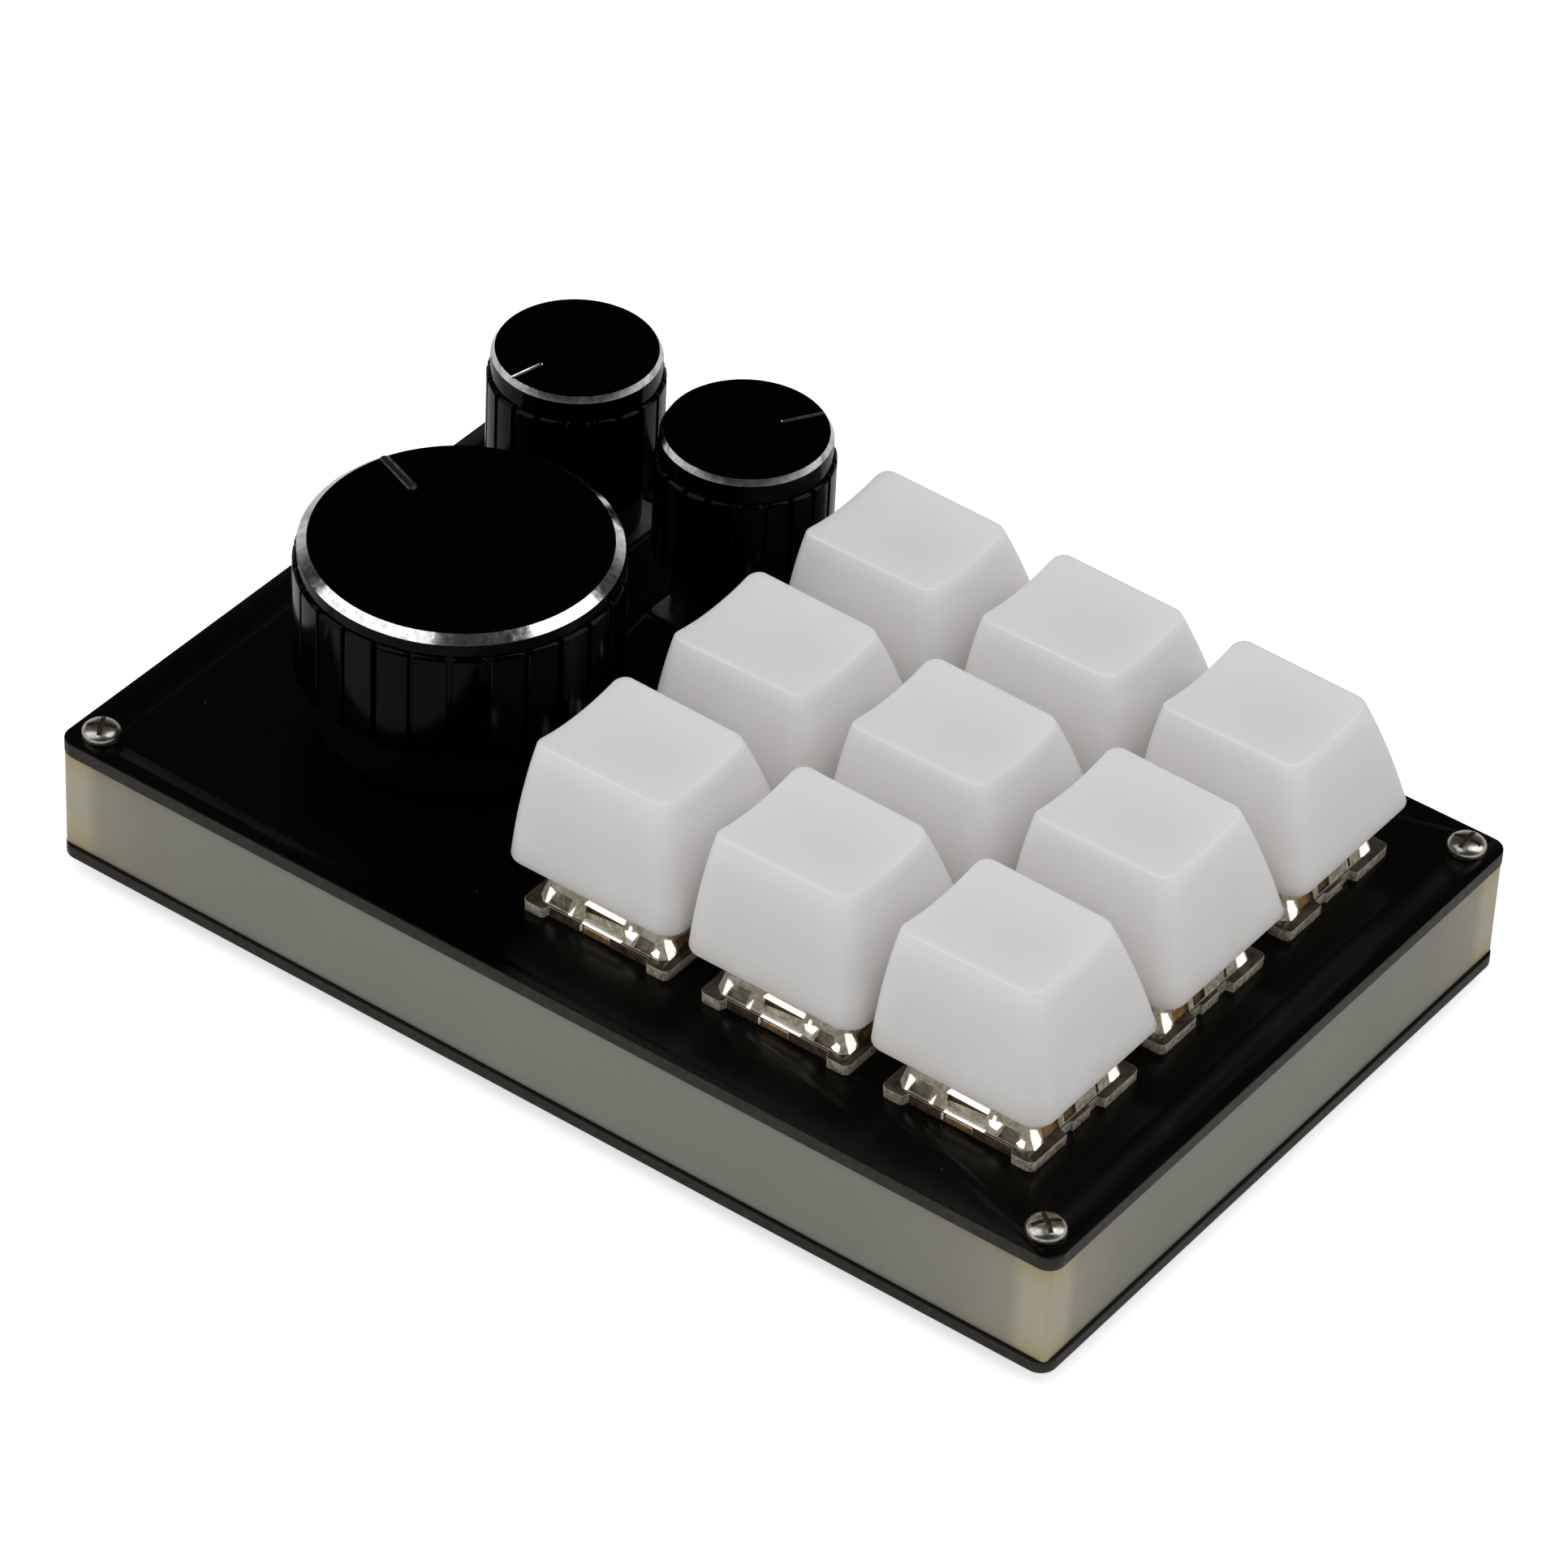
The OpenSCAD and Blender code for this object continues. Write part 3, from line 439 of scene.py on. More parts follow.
def anodised_finish(settings):
    """Black anodised sides with fine turning lines and worn dust in the grain."""
    colour = tuple(settings.body_colour)
    finish = Finish("anodised_black", colour, 0.12, Specular_IOR_Level=0.085,
                    Specular_Tint=(1.0, 0.96, 0.88, 1.0))
    lines = finish.put("ShaderNodeMapping", {
        "Vector": finish.place, "Scale": (0.15, 0.15, 9.0)}).outputs["Vector"]
    turning = finish.noise(0.8 * MM, 2.0, lines)
    finish.set("Base Color", finish.blend(finish.noise(2.2 * MM, 4.0), shade(colour, 0.7),
                                          shade(colour, 1.3)))
    finish.set("Roughness", finish.spread(turning, 0.3, 0.7, 0.09, 0.15))
    finish.relief(turning, 0.0006 * MM)
    return finish.material


def plain_finish(name, colour, roughness, metallic=0.0, swing=0.12, cloud=2.5 * MM,
                 grain=0.15 * MM, depth=0.006 * MM, **sockets):
    """A finish with the usual clouds and grain."""
    finish = Finish(name, colour, roughness, metallic, **sockets)
    return finish.vary(colour, swing, roughness, min(0.08, roughness * 0.3), cloud, grain,
                       depth).material


# ---------------------------------------------------------------- shapes


def as_object(name, mesh):
    thing = bpy.data.objects.new(name, mesh)
    bpy.context.scene.collection.objects.link(thing)
    return thing


def discard(*things):
    for thing in things:
        mesh = thing.data
        bpy.data.objects.remove(thing)
        if mesh.users == 0:
            bpy.data.meshes.remove(mesh)


def settle(thing):
    """Replaces an object's mesh by what its modifiers make of it."""
    shown = thing.evaluated_get(bpy.context.evaluated_depsgraph_get())
    mesh = bpy.data.meshes.new_from_object(shown)
    old = thing.data
    thing.modifiers.clear()
    thing.data = mesh
    if isinstance(old, bpy.types.Mesh) and old.users == 0:
        bpy.data.meshes.remove(old)
    return thing


def smooth(thing, angle, flat_over=None):
    """Smooth faces, with sharp edges past an angle in degrees, and flat faces over an area."""
    thing.data.shade_smooth()
    thing.data.set_sharp_from_angle(angle=math.radians(angle))
    for face in thing.data.polygons:
        if flat_over and face.area > flat_over:
            face.use_smooth = False
    return thing


def soften(thing, width, segments=2, angle=30.0, finish=-1):
    """Rounds the edges that are sharper than an angle. finish numbers the new faces' material."""
    bevel = thing.modifiers.new("Edges", "BEVEL")
    bevel.width = width
    bevel.segments = segments
    bevel.material = finish
    bevel.limit_method = "ANGLE"
    bevel.angle_limit = math.radians(angle)
    return settle(thing)


def carve(thing, *tools, mode="DIFFERENCE"):
    """Cuts tools out of a shape, or adds them to it, and discards the tools.

    Cut faces take the tool's material. Bare shapes come out bare, without the empty slot that the
    cut adds."""
    for tool in tools:
        cut = thing.modifiers.new("Carve", "BOOLEAN")
        cut.operation = mode
        cut.solver = "EXACT"
        cut.object = tool
        cut.material_mode = "TRANSFER"
        settle(thing)
        discard(tool)
    if not any(thing.data.materials):
        thing.data.materials.clear()
        for face in thing.data.polygons:
            face.material_index = 0
    return thing


def poured(name, shape):
    """Turns a bmesh into an object and frees it."""
    mesh = bpy.data.meshes.new(name)
    shape.to_mesh(mesh)
    shape.free()
    return as_object(name, mesh)


def from_rings(name, rings):
    """A skin through rings of points, each counter-clockwise seen from the end it leads to."""
    shape = bmesh.new()
    rows = [[shape.verts.new(point) for point in ring] for ring in rings]
    for first, second in zip(rows, rows[1:]):
        for i in range(len(first)):
            j = (i + 1) % len(first)
            shape.faces.new((first[i], first[j], second[j], second[i]))
    shape.faces.new(list(reversed(rows[0])))
    shape.faces.new(rows[-1])
    return poured(name, shape)


def prism(name, outline, bottom, top, grow=0.0):
    """An upright prism over an outline of (x, y) points. Its top may be larger than its foot."""
    centre = Vector((sum(p[0] for p in outline), sum(p[1] for p in outline))) / len(outline)
    upper = [centre + (Vector(p) - centre) * (1 + grow) for p in outline]
    return from_rings(name, [[(p[0], p[1], bottom) for p in outline],
                             [(p[0], p[1], top) for p in upper]])


def box(name, size, centre):
    """A block from its size and its centre."""
    x, y = size[0] / 2, size[1] / 2
    outline = [(centre[0] + sx * x, centre[1] + sy * y)
               for sx, sy in ((-1, -1), (1, -1), (1, 1), (-1, 1))]
    return prism(name, outline, centre[2] - size[2] / 2, centre[2] + size[2] / 2)


def circle(radius, count, centre=(0.0, 0.0)):
    return [(centre[0] + radius * math.cos(math.tau * k / count),
             centre[1] + radius * math.sin(math.tau * k / count)) for k in range(count)]


def arc(x, y, radius, turns):
    """Points round a centre, at the given turns in degrees."""
    return [(x + radius * math.cos(math.radians(turn)), y + radius * math.sin(math.radians(turn)))
            for turn in turns]


def corners(reach):
    """The four places at plus and minus a reach."""
    return [(sx * reach.x, sy * reach.y) for sx in (-1, 1) for sy in (-1, 1)]


def lathe(name, profile, count, materials=None):
    """Turns a profile of (radius, z) points about the z axis. It starts and ends on the axis."""
    rings = [[(*point, z) for point in circle(r, count)] for r, z in profile[1:-1]]
    shape = bmesh.new()
    rows = [[shape.verts.new(point) for point in ring] for ring in rings]
    ends = [shape.verts.new((0, 0, profile[0][1])), shape.verts.new((0, 0, profile[-1][1]))]
    tints = materials or [0] * (len(profile) - 1)
    for i in range(count):
        j = (i + 1) % count
        face = shape.faces.new((ends[0], rows[0][j], rows[0][i]))
        face.material_index = tints[0]
        face = shape.faces.new((rows[-1][i], rows[-1][j], ends[1]))
        face.material_index = tints[-1]
        for k, (first, second) in enumerate(zip(rows, rows[1:])):
            face = shape.faces.new((first[i], first[j], second[j], second[i]))
            face.material_index = tints[k + 1]
    return poured(name, shape)


def rounded(width, depth, radius, centre=(0.0, 0.0), corner=12, edge=1, front=None):
    """A rectangle with round corners, counter-clockwise. front is its width at the low-y end,
    corner the steps of a round corner and edge the steps of a straight edge."""
    front = front or width
    low_y, high_y = centre[1] - depth / 2, centre[1] + depth / 2
    arcs = [
        (centre[0] + front / 2 - radius, low_y + radius, -90),
        (centre[0] + width / 2 - radius, high_y - radius, 0),
        (centre[0] - width / 2 + radius, high_y - radius, 90),
        (centre[0] - front / 2 + radius, low_y + radius, 180),
    ]
    points = []
    for x, y, start in arcs:
        turns = [start + 90 * k / corner for k in range(corner + 1)]
        bend = [Vector(point) for point in arc(x, y, radius, turns)]
        if points:
            points += [points[-1].lerp(bend[0], k / edge) for k in range(1, edge)]
        points += bend
    return points + [points[-1].lerp(points[0], k / edge) for k in range(1, edge)]


def sheet_metal(name, outlines, thickness, edge):
    """A flat plate from outlines, the first its edge and the rest its holes, with broken edges."""
    curve = bpy.data.curves.new(name, "CURVE")
    curve.dimensions = "2D"
    curve.fill_mode = "BOTH"
    curve.extrude = thickness / 2 - edge
    curve.bevel_depth = edge
    curve.bevel_resolution = 1
    curve.offset = -edge
    for outline in outlines:
        spline = curve.splines.new("POLY")
        spline.points.add(len(outline) - 1)
        for point, place in zip(spline.points, outline):
            point.co = (place[0], place[1], 0.0, 1.0)
        spline.use_cyclic_u = True
    drawn = bpy.data.objects.new(name, curve)
    bpy.context.scene.collection.objects.link(drawn)
    mesh = bpy.data.meshes.new_from_object(
        drawn.evaluated_get(bpy.context.evaluated_depsgraph_get()))
    bpy.data.objects.remove(drawn)
    bpy.data.curves.remove(curve)
    shape = bmesh.new()
    shape.from_mesh(mesh)
    bmesh.ops.remove_doubles(shape, verts=shape.verts, dist=1e-7)
    bmesh.ops.recalc_face_normals(shape, faces=shape.faces)
    shape.to_mesh(mesh)
    shape.free()
    mesh.materials.clear()
    return as_object(name, mesh)


def join(name, *things):
    """One object out of several, each keeping its own materials."""
    shape = bmesh.new()
    materials = []
    for thing in things:
        mesh = thing.data
        mesh.transform(thing.matrix_world)
        start = len(shape.faces)
        shape.from_mesh(mesh)
        shape.faces.ensure_lookup_table()
        for material in mesh.materials:
            if material not in materials:
                materials.append(material)
        slots = [materials.index(material) for material in mesh.materials]
        for face in shape.faces[start:]:
            if slots:
                face.material_index = slots[min(face.material_index, len(slots) - 1)]
    discard(*things)
    return dress(poured(name, shape), *materials)


def shift(thing, x=0.0, y=0.0, z=0.0, turn=0.0):
    """Turns a mesh about the z axis and moves it, in the mesh itself."""
    thing.data.transform(Matrix.Translation((x, y, z)) @ Matrix.Rotation(turn, 4, "Z"))
    return thing


def dress(thing, *materials):
    """Gives a new piece its materials, in the order of its faces' numbers."""
    for material in materials:
        thing.data.materials.append(material)
    return thing


def keep(thing, body, slot, *nodes):
    """Hands a finished piece to its body and hides the solids it stands for. slot is not used."""
    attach(thing, body)
    if nodes:
        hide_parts(*nodes)
    return thing


def coat(material, *nodes):
    """Puts a finish on solids that are shown as they are."""
    for node in nodes:
        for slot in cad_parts[node].material_slots:
            slot.link = "DATA"
            slot.material = material


# ---------------------------------------------------------------- what repeats


class Pattern:
    """A Geometry Nodes tree with named inputs, grown into a plain mesh."""

    def __init__(self, name):
        self.tree = bpy.data.node_groups.new(name, "GeometryNodeTree")
        self.names = {}
        self.tree.interface.new_socket(
            "Geometry", in_out="OUTPUT", socket_type="NodeSocketGeometry")
        self.start = self.put("NodeGroupInput")
        self.end = self.put("NodeGroupOutput")

    def put(self, kind, inputs=(), **options):
        return put_node(self.tree, kind, inputs, **options)

    def ask(self, **kinds):
        """Adds named inputs of the given kinds and returns their sockets inside the tree."""
        for name, kind in kinds.items():
            item = self.tree.interface.new_socket(
                name, in_out="INPUT", socket_type="NodeSocket" + kind)
            self.names[name] = item.identifier
        return [next(s for s in self.start.outputs if s.identifier == self.names[name])
                for name in kinds]

    def copy(self, part, points, turn, finish):
        """Sets a copy of the part on each point, turned about z, makes the copies real, paints
        their main faces and ends the tree."""
        rotation = self.put("ShaderNodeCombineXYZ", {"Z": turn})
        source = self.put("GeometryNodeObjectInfo", {"Object": part})
        copies = self.put("GeometryNodeInstanceOnPoints", {
            "Points": points, "Instance": source.outputs["Geometry"],
            "Rotation": rotation.outputs[0]})
        real = self.put("GeometryNodeRealizeInstances", {"Geometry": copies.outputs["Instances"]})
        number = self.put("GeometryNodeInputMaterialIndex")
        main = self.put("FunctionNodeCompare", data_type="INT", operation="EQUAL")
        pair = [s for s in main.inputs if s.type == "INT"]
        self.tree.links.new(number.outputs[0], pair[0])
        pair[1].default_value = 0
        painted = self.put("GeometryNodeSetMaterial", {
            "Geometry": real.outputs["Geometry"], "Material": finish,
            "Selection": main.outputs[0]})
        self.tree.links.new(painted.outputs["Geometry"], self.end.inputs["Geometry"])
        return self

    def grow(self, name, **values):
        """Runs the tree once and returns the result as an object with a plain mesh."""
        thing = as_object(name, bpy.data.meshes.new(name))
        modifier = thing.modifiers.new("Pattern", "NODES")
        modifier.node_group = self.tree
        for key, value in values.items():
            modifier[self.names[key]] = value
        bpy.context.view_layer.update()
        return settle(thing)


def round_pattern():
    """Copies of a part turned about the z axis."""
    pattern = Pattern("Round the axis")
    part, count, finish = pattern.ask(Part="Object", Count="Int", Finish="Material")
    line = pattern.put("GeometryNodeMeshLine", {"Count": count, "Offset": (0.0, 0.0, 0.0)})
    step = pattern.put("ShaderNodeMath", {0: math.tau, 1: count}, operation="DIVIDE")
    index = pattern.put("GeometryNodeInputIndex")
    turn = pattern.put("ShaderNodeMath", {0: index.outputs[0], 1: step.outputs[0]},
                       operation="MULTIPLY")
    return pattern.copy(part, line.outputs["Mesh"], turn.outputs[0], finish)


def grid_pattern():
    """Copies of a part on a grid of columns and rows, each turned by its own share of a swing."""
    pattern = Pattern("On a grid")
    part, columns, rows, width, depth, centre, swing, finish = pattern.ask(
        Part="Object", Columns="Int", Rows="Int", Width="Float", Depth="Float",
        Centre="Vector", Swing="Float", Finish="Material")
    grid = pattern.put("GeometryNodeMeshGrid", {
        "Size X": width, "Size Y": depth, "Vertices X": columns, "Vertices Y": rows})
    placed = pattern.put("GeometryNodeTransform", {
        "Geometry": grid.outputs["Mesh"], "Translation": centre})
    turn = pattern.put("FunctionNodeRandomValue", {"Seed": 7}, data_type="FLOAT")
    pattern.tree.links.new(swing, next(s for s in turn.inputs if s.identifier == "Max_001"))
    angle = next(s for s in turn.outputs if s.identifier == "Value_001")
    return pattern.copy(part, placed.outputs["Geometry"], angle, finish)


def on_grid(name, part, finish, side, reach, centre=(0.0, 0.0), swing=0.0):
    """Copies of a part on a square grid with side rows, each turned by up to swing."""
    grown = grid_pattern().grow(
        name, Part=part, Columns=side, Rows=side, Width=reach.x, Depth=reach.y,
        Centre=(*centre, 0.0), Swing=swing, Finish=finish)
    discard(part)
    return grown


def on_keys(name, part, finish):
    """Nine copies of a part that is modelled about a key's centre."""
    return on_grid(name, part, finish, 3, Vector((2, 2)) * KEY_PITCH, KEY_MIDDLE)


def on_corners(name, part, finish, swing):
    """Four copies of a part at the case screws."""
    return on_grid(name, part, finish, 2, 2 * SCREW_REACH, swing=swing)


# ---------------------------------------------------------------- operators


class Builder:
    """Shared by the operators of the keypad."""

    bl_options = {"REGISTER", "UNDO"}

    def coats(self, rows):
        """Puts finishes on solids, from rows of name, colour, roughness, metallic and nodes."""
        for name, colour, roughness, metallic, nodes in rows:
            coat(plain_finish(name, colour, roughness, metallic), *nodes)

    def done(self):
        return {"FINISHED"}


class KEYPAD_OT_stage(Builder, bpy.types.Operator):
    """Floor, lamps, world and camera"""

    bl_idname = "keypad.stage"
    bl_label = "Stage"

    def execute(self, context):
        settings = context.scene.keypad_stage
        self.floor(settings)
        self.world(context, settings)
        self.lamps(settings)
        self.camera(context, settings)
        return self.done()

    def floor(self, settings):
        """Pale paper that glows to white where the camera sees it and keeps the shadow."""
        reach, thickness = 4.0, 0.02
        thing = box("floor", (2 * reach, 2 * reach, thickness), (0, 0, -thickness / 2))
        colour = tuple(settings.floor_colour)
        finish = Finish("paper_floor", colour, 0.9, Specular_IOR_Level=0.0)
        finish.set("Base Color", finish.blend(finish.noise(0.6), shade(colour, 0.995), colour))
        glow = finish.put("ShaderNodeLightPath").outputs["Is Camera Ray"]
        finish.set("Emission Color", (1.0, 1.0, 1.0, 1.0))
        finish.set("Emission Strength", finish.sum("MULTIPLY", glow, settings.glow))
        dress(thing, finish.material)

    def world(self, context, settings):
        """Light from low all round that fades to a dark sky."""
        world = bpy.data.worlds.new("studio")
        world.use_nodes = True
        context.scene.world = world
        tree = world.node_tree
        place = put_node(tree, "ShaderNodeTexCoord").outputs["Generated"]
        rise = put_node(tree, "ShaderNodeSeparateXYZ", {"Vector": place}).outputs["Z"]
        ramp = put_node(tree, "ShaderNodeValToRGB", {"Fac": rise})
        for mark, position, strength in zip(ramp.color_ramp.elements, (0.10, 0.34),
                                            (settings.horizon, settings.zenith)):
            mark.position = position
            mark.color = (strength, strength, strength, 1.0)
        tree.links.new(ramp.outputs["Color"], tree.nodes["Background"].inputs["Color"])

    def lamps(self, settings):
        """Two soft boxes left and right, a wide lamp overhead and one in front.

        Each lamp shines on the origin from 1 m away. Its turn and rise are in degrees, it is moved
        aside and up in its own plane, and only the boxes show in reflections."""
        for name, turn, rise, aside, up, size, watts, seen in (
            ("left_box", 125, 45, 0.10, 0.10, (0.78, 1.14), settings.soft_boxes, True),
            ("right_box", -55, 45, 0.08, 0.12, (0.56, 1.16), settings.soft_boxes, True),
            ("top_lamp", 0, 89, 0.0, 0.0, (1.2, 1.2), settings.top_lamp, False),
            ("front_lamp", -148, 52, 0.0, 0.0, (1.0, 1.0), settings.front_lamp, False),
        ):
            lamp = bpy.data.lights.new(name, "AREA")
            lamp.shape = "RECTANGLE"
            lamp.size, lamp.size_y = size
            lamp.energy = watts
            thing = as_object(name, lamp)
            turn, rise = math.radians(turn), math.radians(rise)
            out = Vector((math.cos(rise) * math.cos(turn), math.cos(rise) * math.sin(turn),
                          math.sin(rise)))
            across = Vector((-math.sin(turn), math.cos(turn), 0))
            above = out.cross(across)
            place = Matrix((across, above, out)).transposed().to_4x4()
            thing.matrix_world = Matrix.Translation(out + across * aside + above * up) @ place
            thing.visible_glossy = seen

    def camera(self, context, settings):
        """The camera, from its place and the directions of its own axes."""
        camera = bpy.data.cameras.new("camera")
        camera.lens = settings.lens
        camera.sensor_width = 36.0
        camera.clip_start, camera.clip_end = 0.01, 20.0
        thing = as_object("camera", camera)
        stand = Vector((-0.43166, -0.30130, 0.44530))
        right = Vector((0.59799, -0.80052, 0.03981))
        up = Vector((0.48840, 0.40332, 0.77382))
        back = Vector((-0.63551, -0.44329, 0.63215))
        turn = Matrix((right, up, back)).transposed().to_4x4()
        thing.matrix_world = Matrix.Translation(stand) @ turn
        context.scene.camera = thing


class KEYPAD_OT_plates(Builder, bpy.types.Operator):
    """Top and bottom plate, with broken edges round every cut-out"""

    bl_idname = "keypad.plates"
    bl_label = "Plates"

    def execute(self, context):
        settings = context.scene.keypad_case
        finish = plate_finish(settings)
        cut = plain_finish("routed_edge", tuple(settings.edge_colour), 0.4, swing=0.3,
                           cloud=0.8 * MM, Specular_IOR_Level=0.2)
        holes = [circle(SCREW_HOLE / 2, 24, place) for place in corners(SCREW_REACH)]
        for node, windows in (("top_plate", self.windows()), ("bottom_plate", [])):
            size = high(node) - low(node)
            outlines = [rounded(size.x, size.y, settings.corner), *holes, *windows]
            plate = sheet_metal(node + "_shown", outlines, size.z, settings.plate_edge)
            shift(plate, z=middle(node).z)
            for face in plate.data.polygons:
                face.material_index = int(abs(face.normal.z) < 0.3)
            dress(smooth(plate, 30, LARGE_FACE), finish, cut)
            keep(plate, "base", "plate_black", node)
        return self.done()

    def windows(self):
        """Outlines of the square cut-outs for the switches and the encoders."""
        side = SWITCH_WINDOW
        return [rounded(side, side, 0.2 * MM, spot, 3) for spot in KEY_SPOTS.values()] + [
            rounded(*ENCODER_WINDOW, 0.4 * MM, (spot.x, spot.y - ENCODER_SETBACK), 4)
            for spot in KNOB_SPOTS.values()]


class KEYPAD_OT_side_frame(Builder, bpy.types.Operator):
    """Frosted frame between the plates, with its brass standoffs"""

    bl_idname = "keypad.side_frame"
    bl_label = "Side frame"

    def execute(self, context):
        settings = context.scene.keypad_case
        shell = smooth(self.shell(settings), 30, LARGE_FACE)
        keep(dress(shell, frame_finish(settings)), "base", "frosted_frame", "side_frame")
        coat(plain_finish("turned_brass", (0.78, 0.58, 0.28), 0.3, 1.0), "standoffs")
        return self.done()

    def shell(self, settings):
        """The frame's ring with its bored corners, and the pocket and mouth for the inlet."""
        foot, head = low("side_frame"), high("side_frame")
        size, centre = head - foot, (foot + head) / 2
        over, slip, spare = 0.1 * MM, 0.05 * MM, 0.3 * MM
        shell = prism("frame", rounded(size.x, size.y, settings.frame_corner), foot.z, head.z)
        wall, pad = 2 * settings.frame_wall, 2 * settings.frame_pad
        tall = size.z + 2 * over
        cuts = [box("room", (size.x - wall, size.y - pad, tall), centre),
                box("room", (size.x - pad, size.y - wall, tall), centre)]
        for place in corners(SCREW_REACH):
            cuts.append(prism("bore", circle(STANDOFF / 2 + slip, 32, place),
                              foot.z - over, head.z + over))
        inlet = high("usb_socket") - low("usb_socket")
        skin = settings.inlet_skin
        cuts.append(box("pocket", (inlet.x + settings.pocket_room, settings.frame_wall, tall),
                        (0, head.y - skin - settings.frame_wall / 2, centre.z)))
        mouth = rounded(inlet.x + 2 * spare, inlet.z + 2 * spare, inlet.z / 2 + spare - 0.01 * MM)
        mouth = prism("mouth", mouth, -head.y - over, -head.y + 2 * skin)
        mouth.data.transform(Matrix.Translation((0, 0, middle("usb_socket").z))
                             @ Matrix.Rotation(math.pi / 2, 4, "X"))
        return carve(shell, *cuts, mouth)


class KEYPAD_OT_screws(Builder, bpy.types.Operator):
    """Four screws above and four below"""

    bl_idname = "keypad.screws"
    bl_label = "Screws"

    def execute(self, context):
        settings = context.scene.keypad_case
        finish = nickel_finish(settings)
        # Painted shade: the cross recess is painted dark brown
        dull = plain_finish("recess_painted_shade", (0.20, 0.16, 0.09), 0.45, 0.7, swing=0.4, cloud=0.5 * MM)
        top = on_corners("top_screws_shown", self.screw(finish, dull), finish, 1.2)
        shift(top, z=PLATE_TOP)
        under = on_corners("bottom_screws_shown", self.screw(finish, dull), finish, 2.2)
        under.data.transform(Matrix.Rotation(math.pi, 4, "X"))
        shift(under, z=low("bottom_plate").z)
        for thing, node in ((top, "top_screws"), (under, "bottom_screws")):
            keep(smooth(thing, 40), "base", "nickel_screw", node)
        return self.done()

    def screw(self, finish, dull):
        """A low pan head with a cross recess, its underside at z = 0."""
        radius, height, shank, reach = 1.8 * MM, 1.2 * MM, 1.0 * MM, 5.0 * MM
        arm_reach, arm_half, arm_depth = 1.15 * MM, 0.19 * MM, 0.72 * MM
        rim, tip, edge = 0.42 * MM, 0.3 * MM, 0.08 * MM
        crown = height - rim
        profile = [(0, -reach), (shank * 0.7, -reach), (shank, -reach + tip), (shank, 0.0),
                   (radius - edge, 0.0), (radius, edge), (radius, rim * 0.8)]
        steps = 8
        for k in range(1, steps):
            turn = math.pi / 2 * k / steps
            profile.append((radius * math.cos(turn) ** 0.8,
                            rim + crown * math.sin(turn) - edge * (1 - k / steps)))
        profile.append((0, height))
        head = dress(lathe("screw", profile, 40), finish)
        for k in range(2):
            arm = prism("arm", [(-arm_reach, -arm_half), (arm_reach, -arm_half),
                                (arm_reach, arm_half), (-arm_reach, arm_half)],
                        height - arm_depth, height + 0.1 * MM, 0.25)
            dress(shift(arm, turn=math.pi / 2 * k), dull)
            carve(head, arm)
        return head


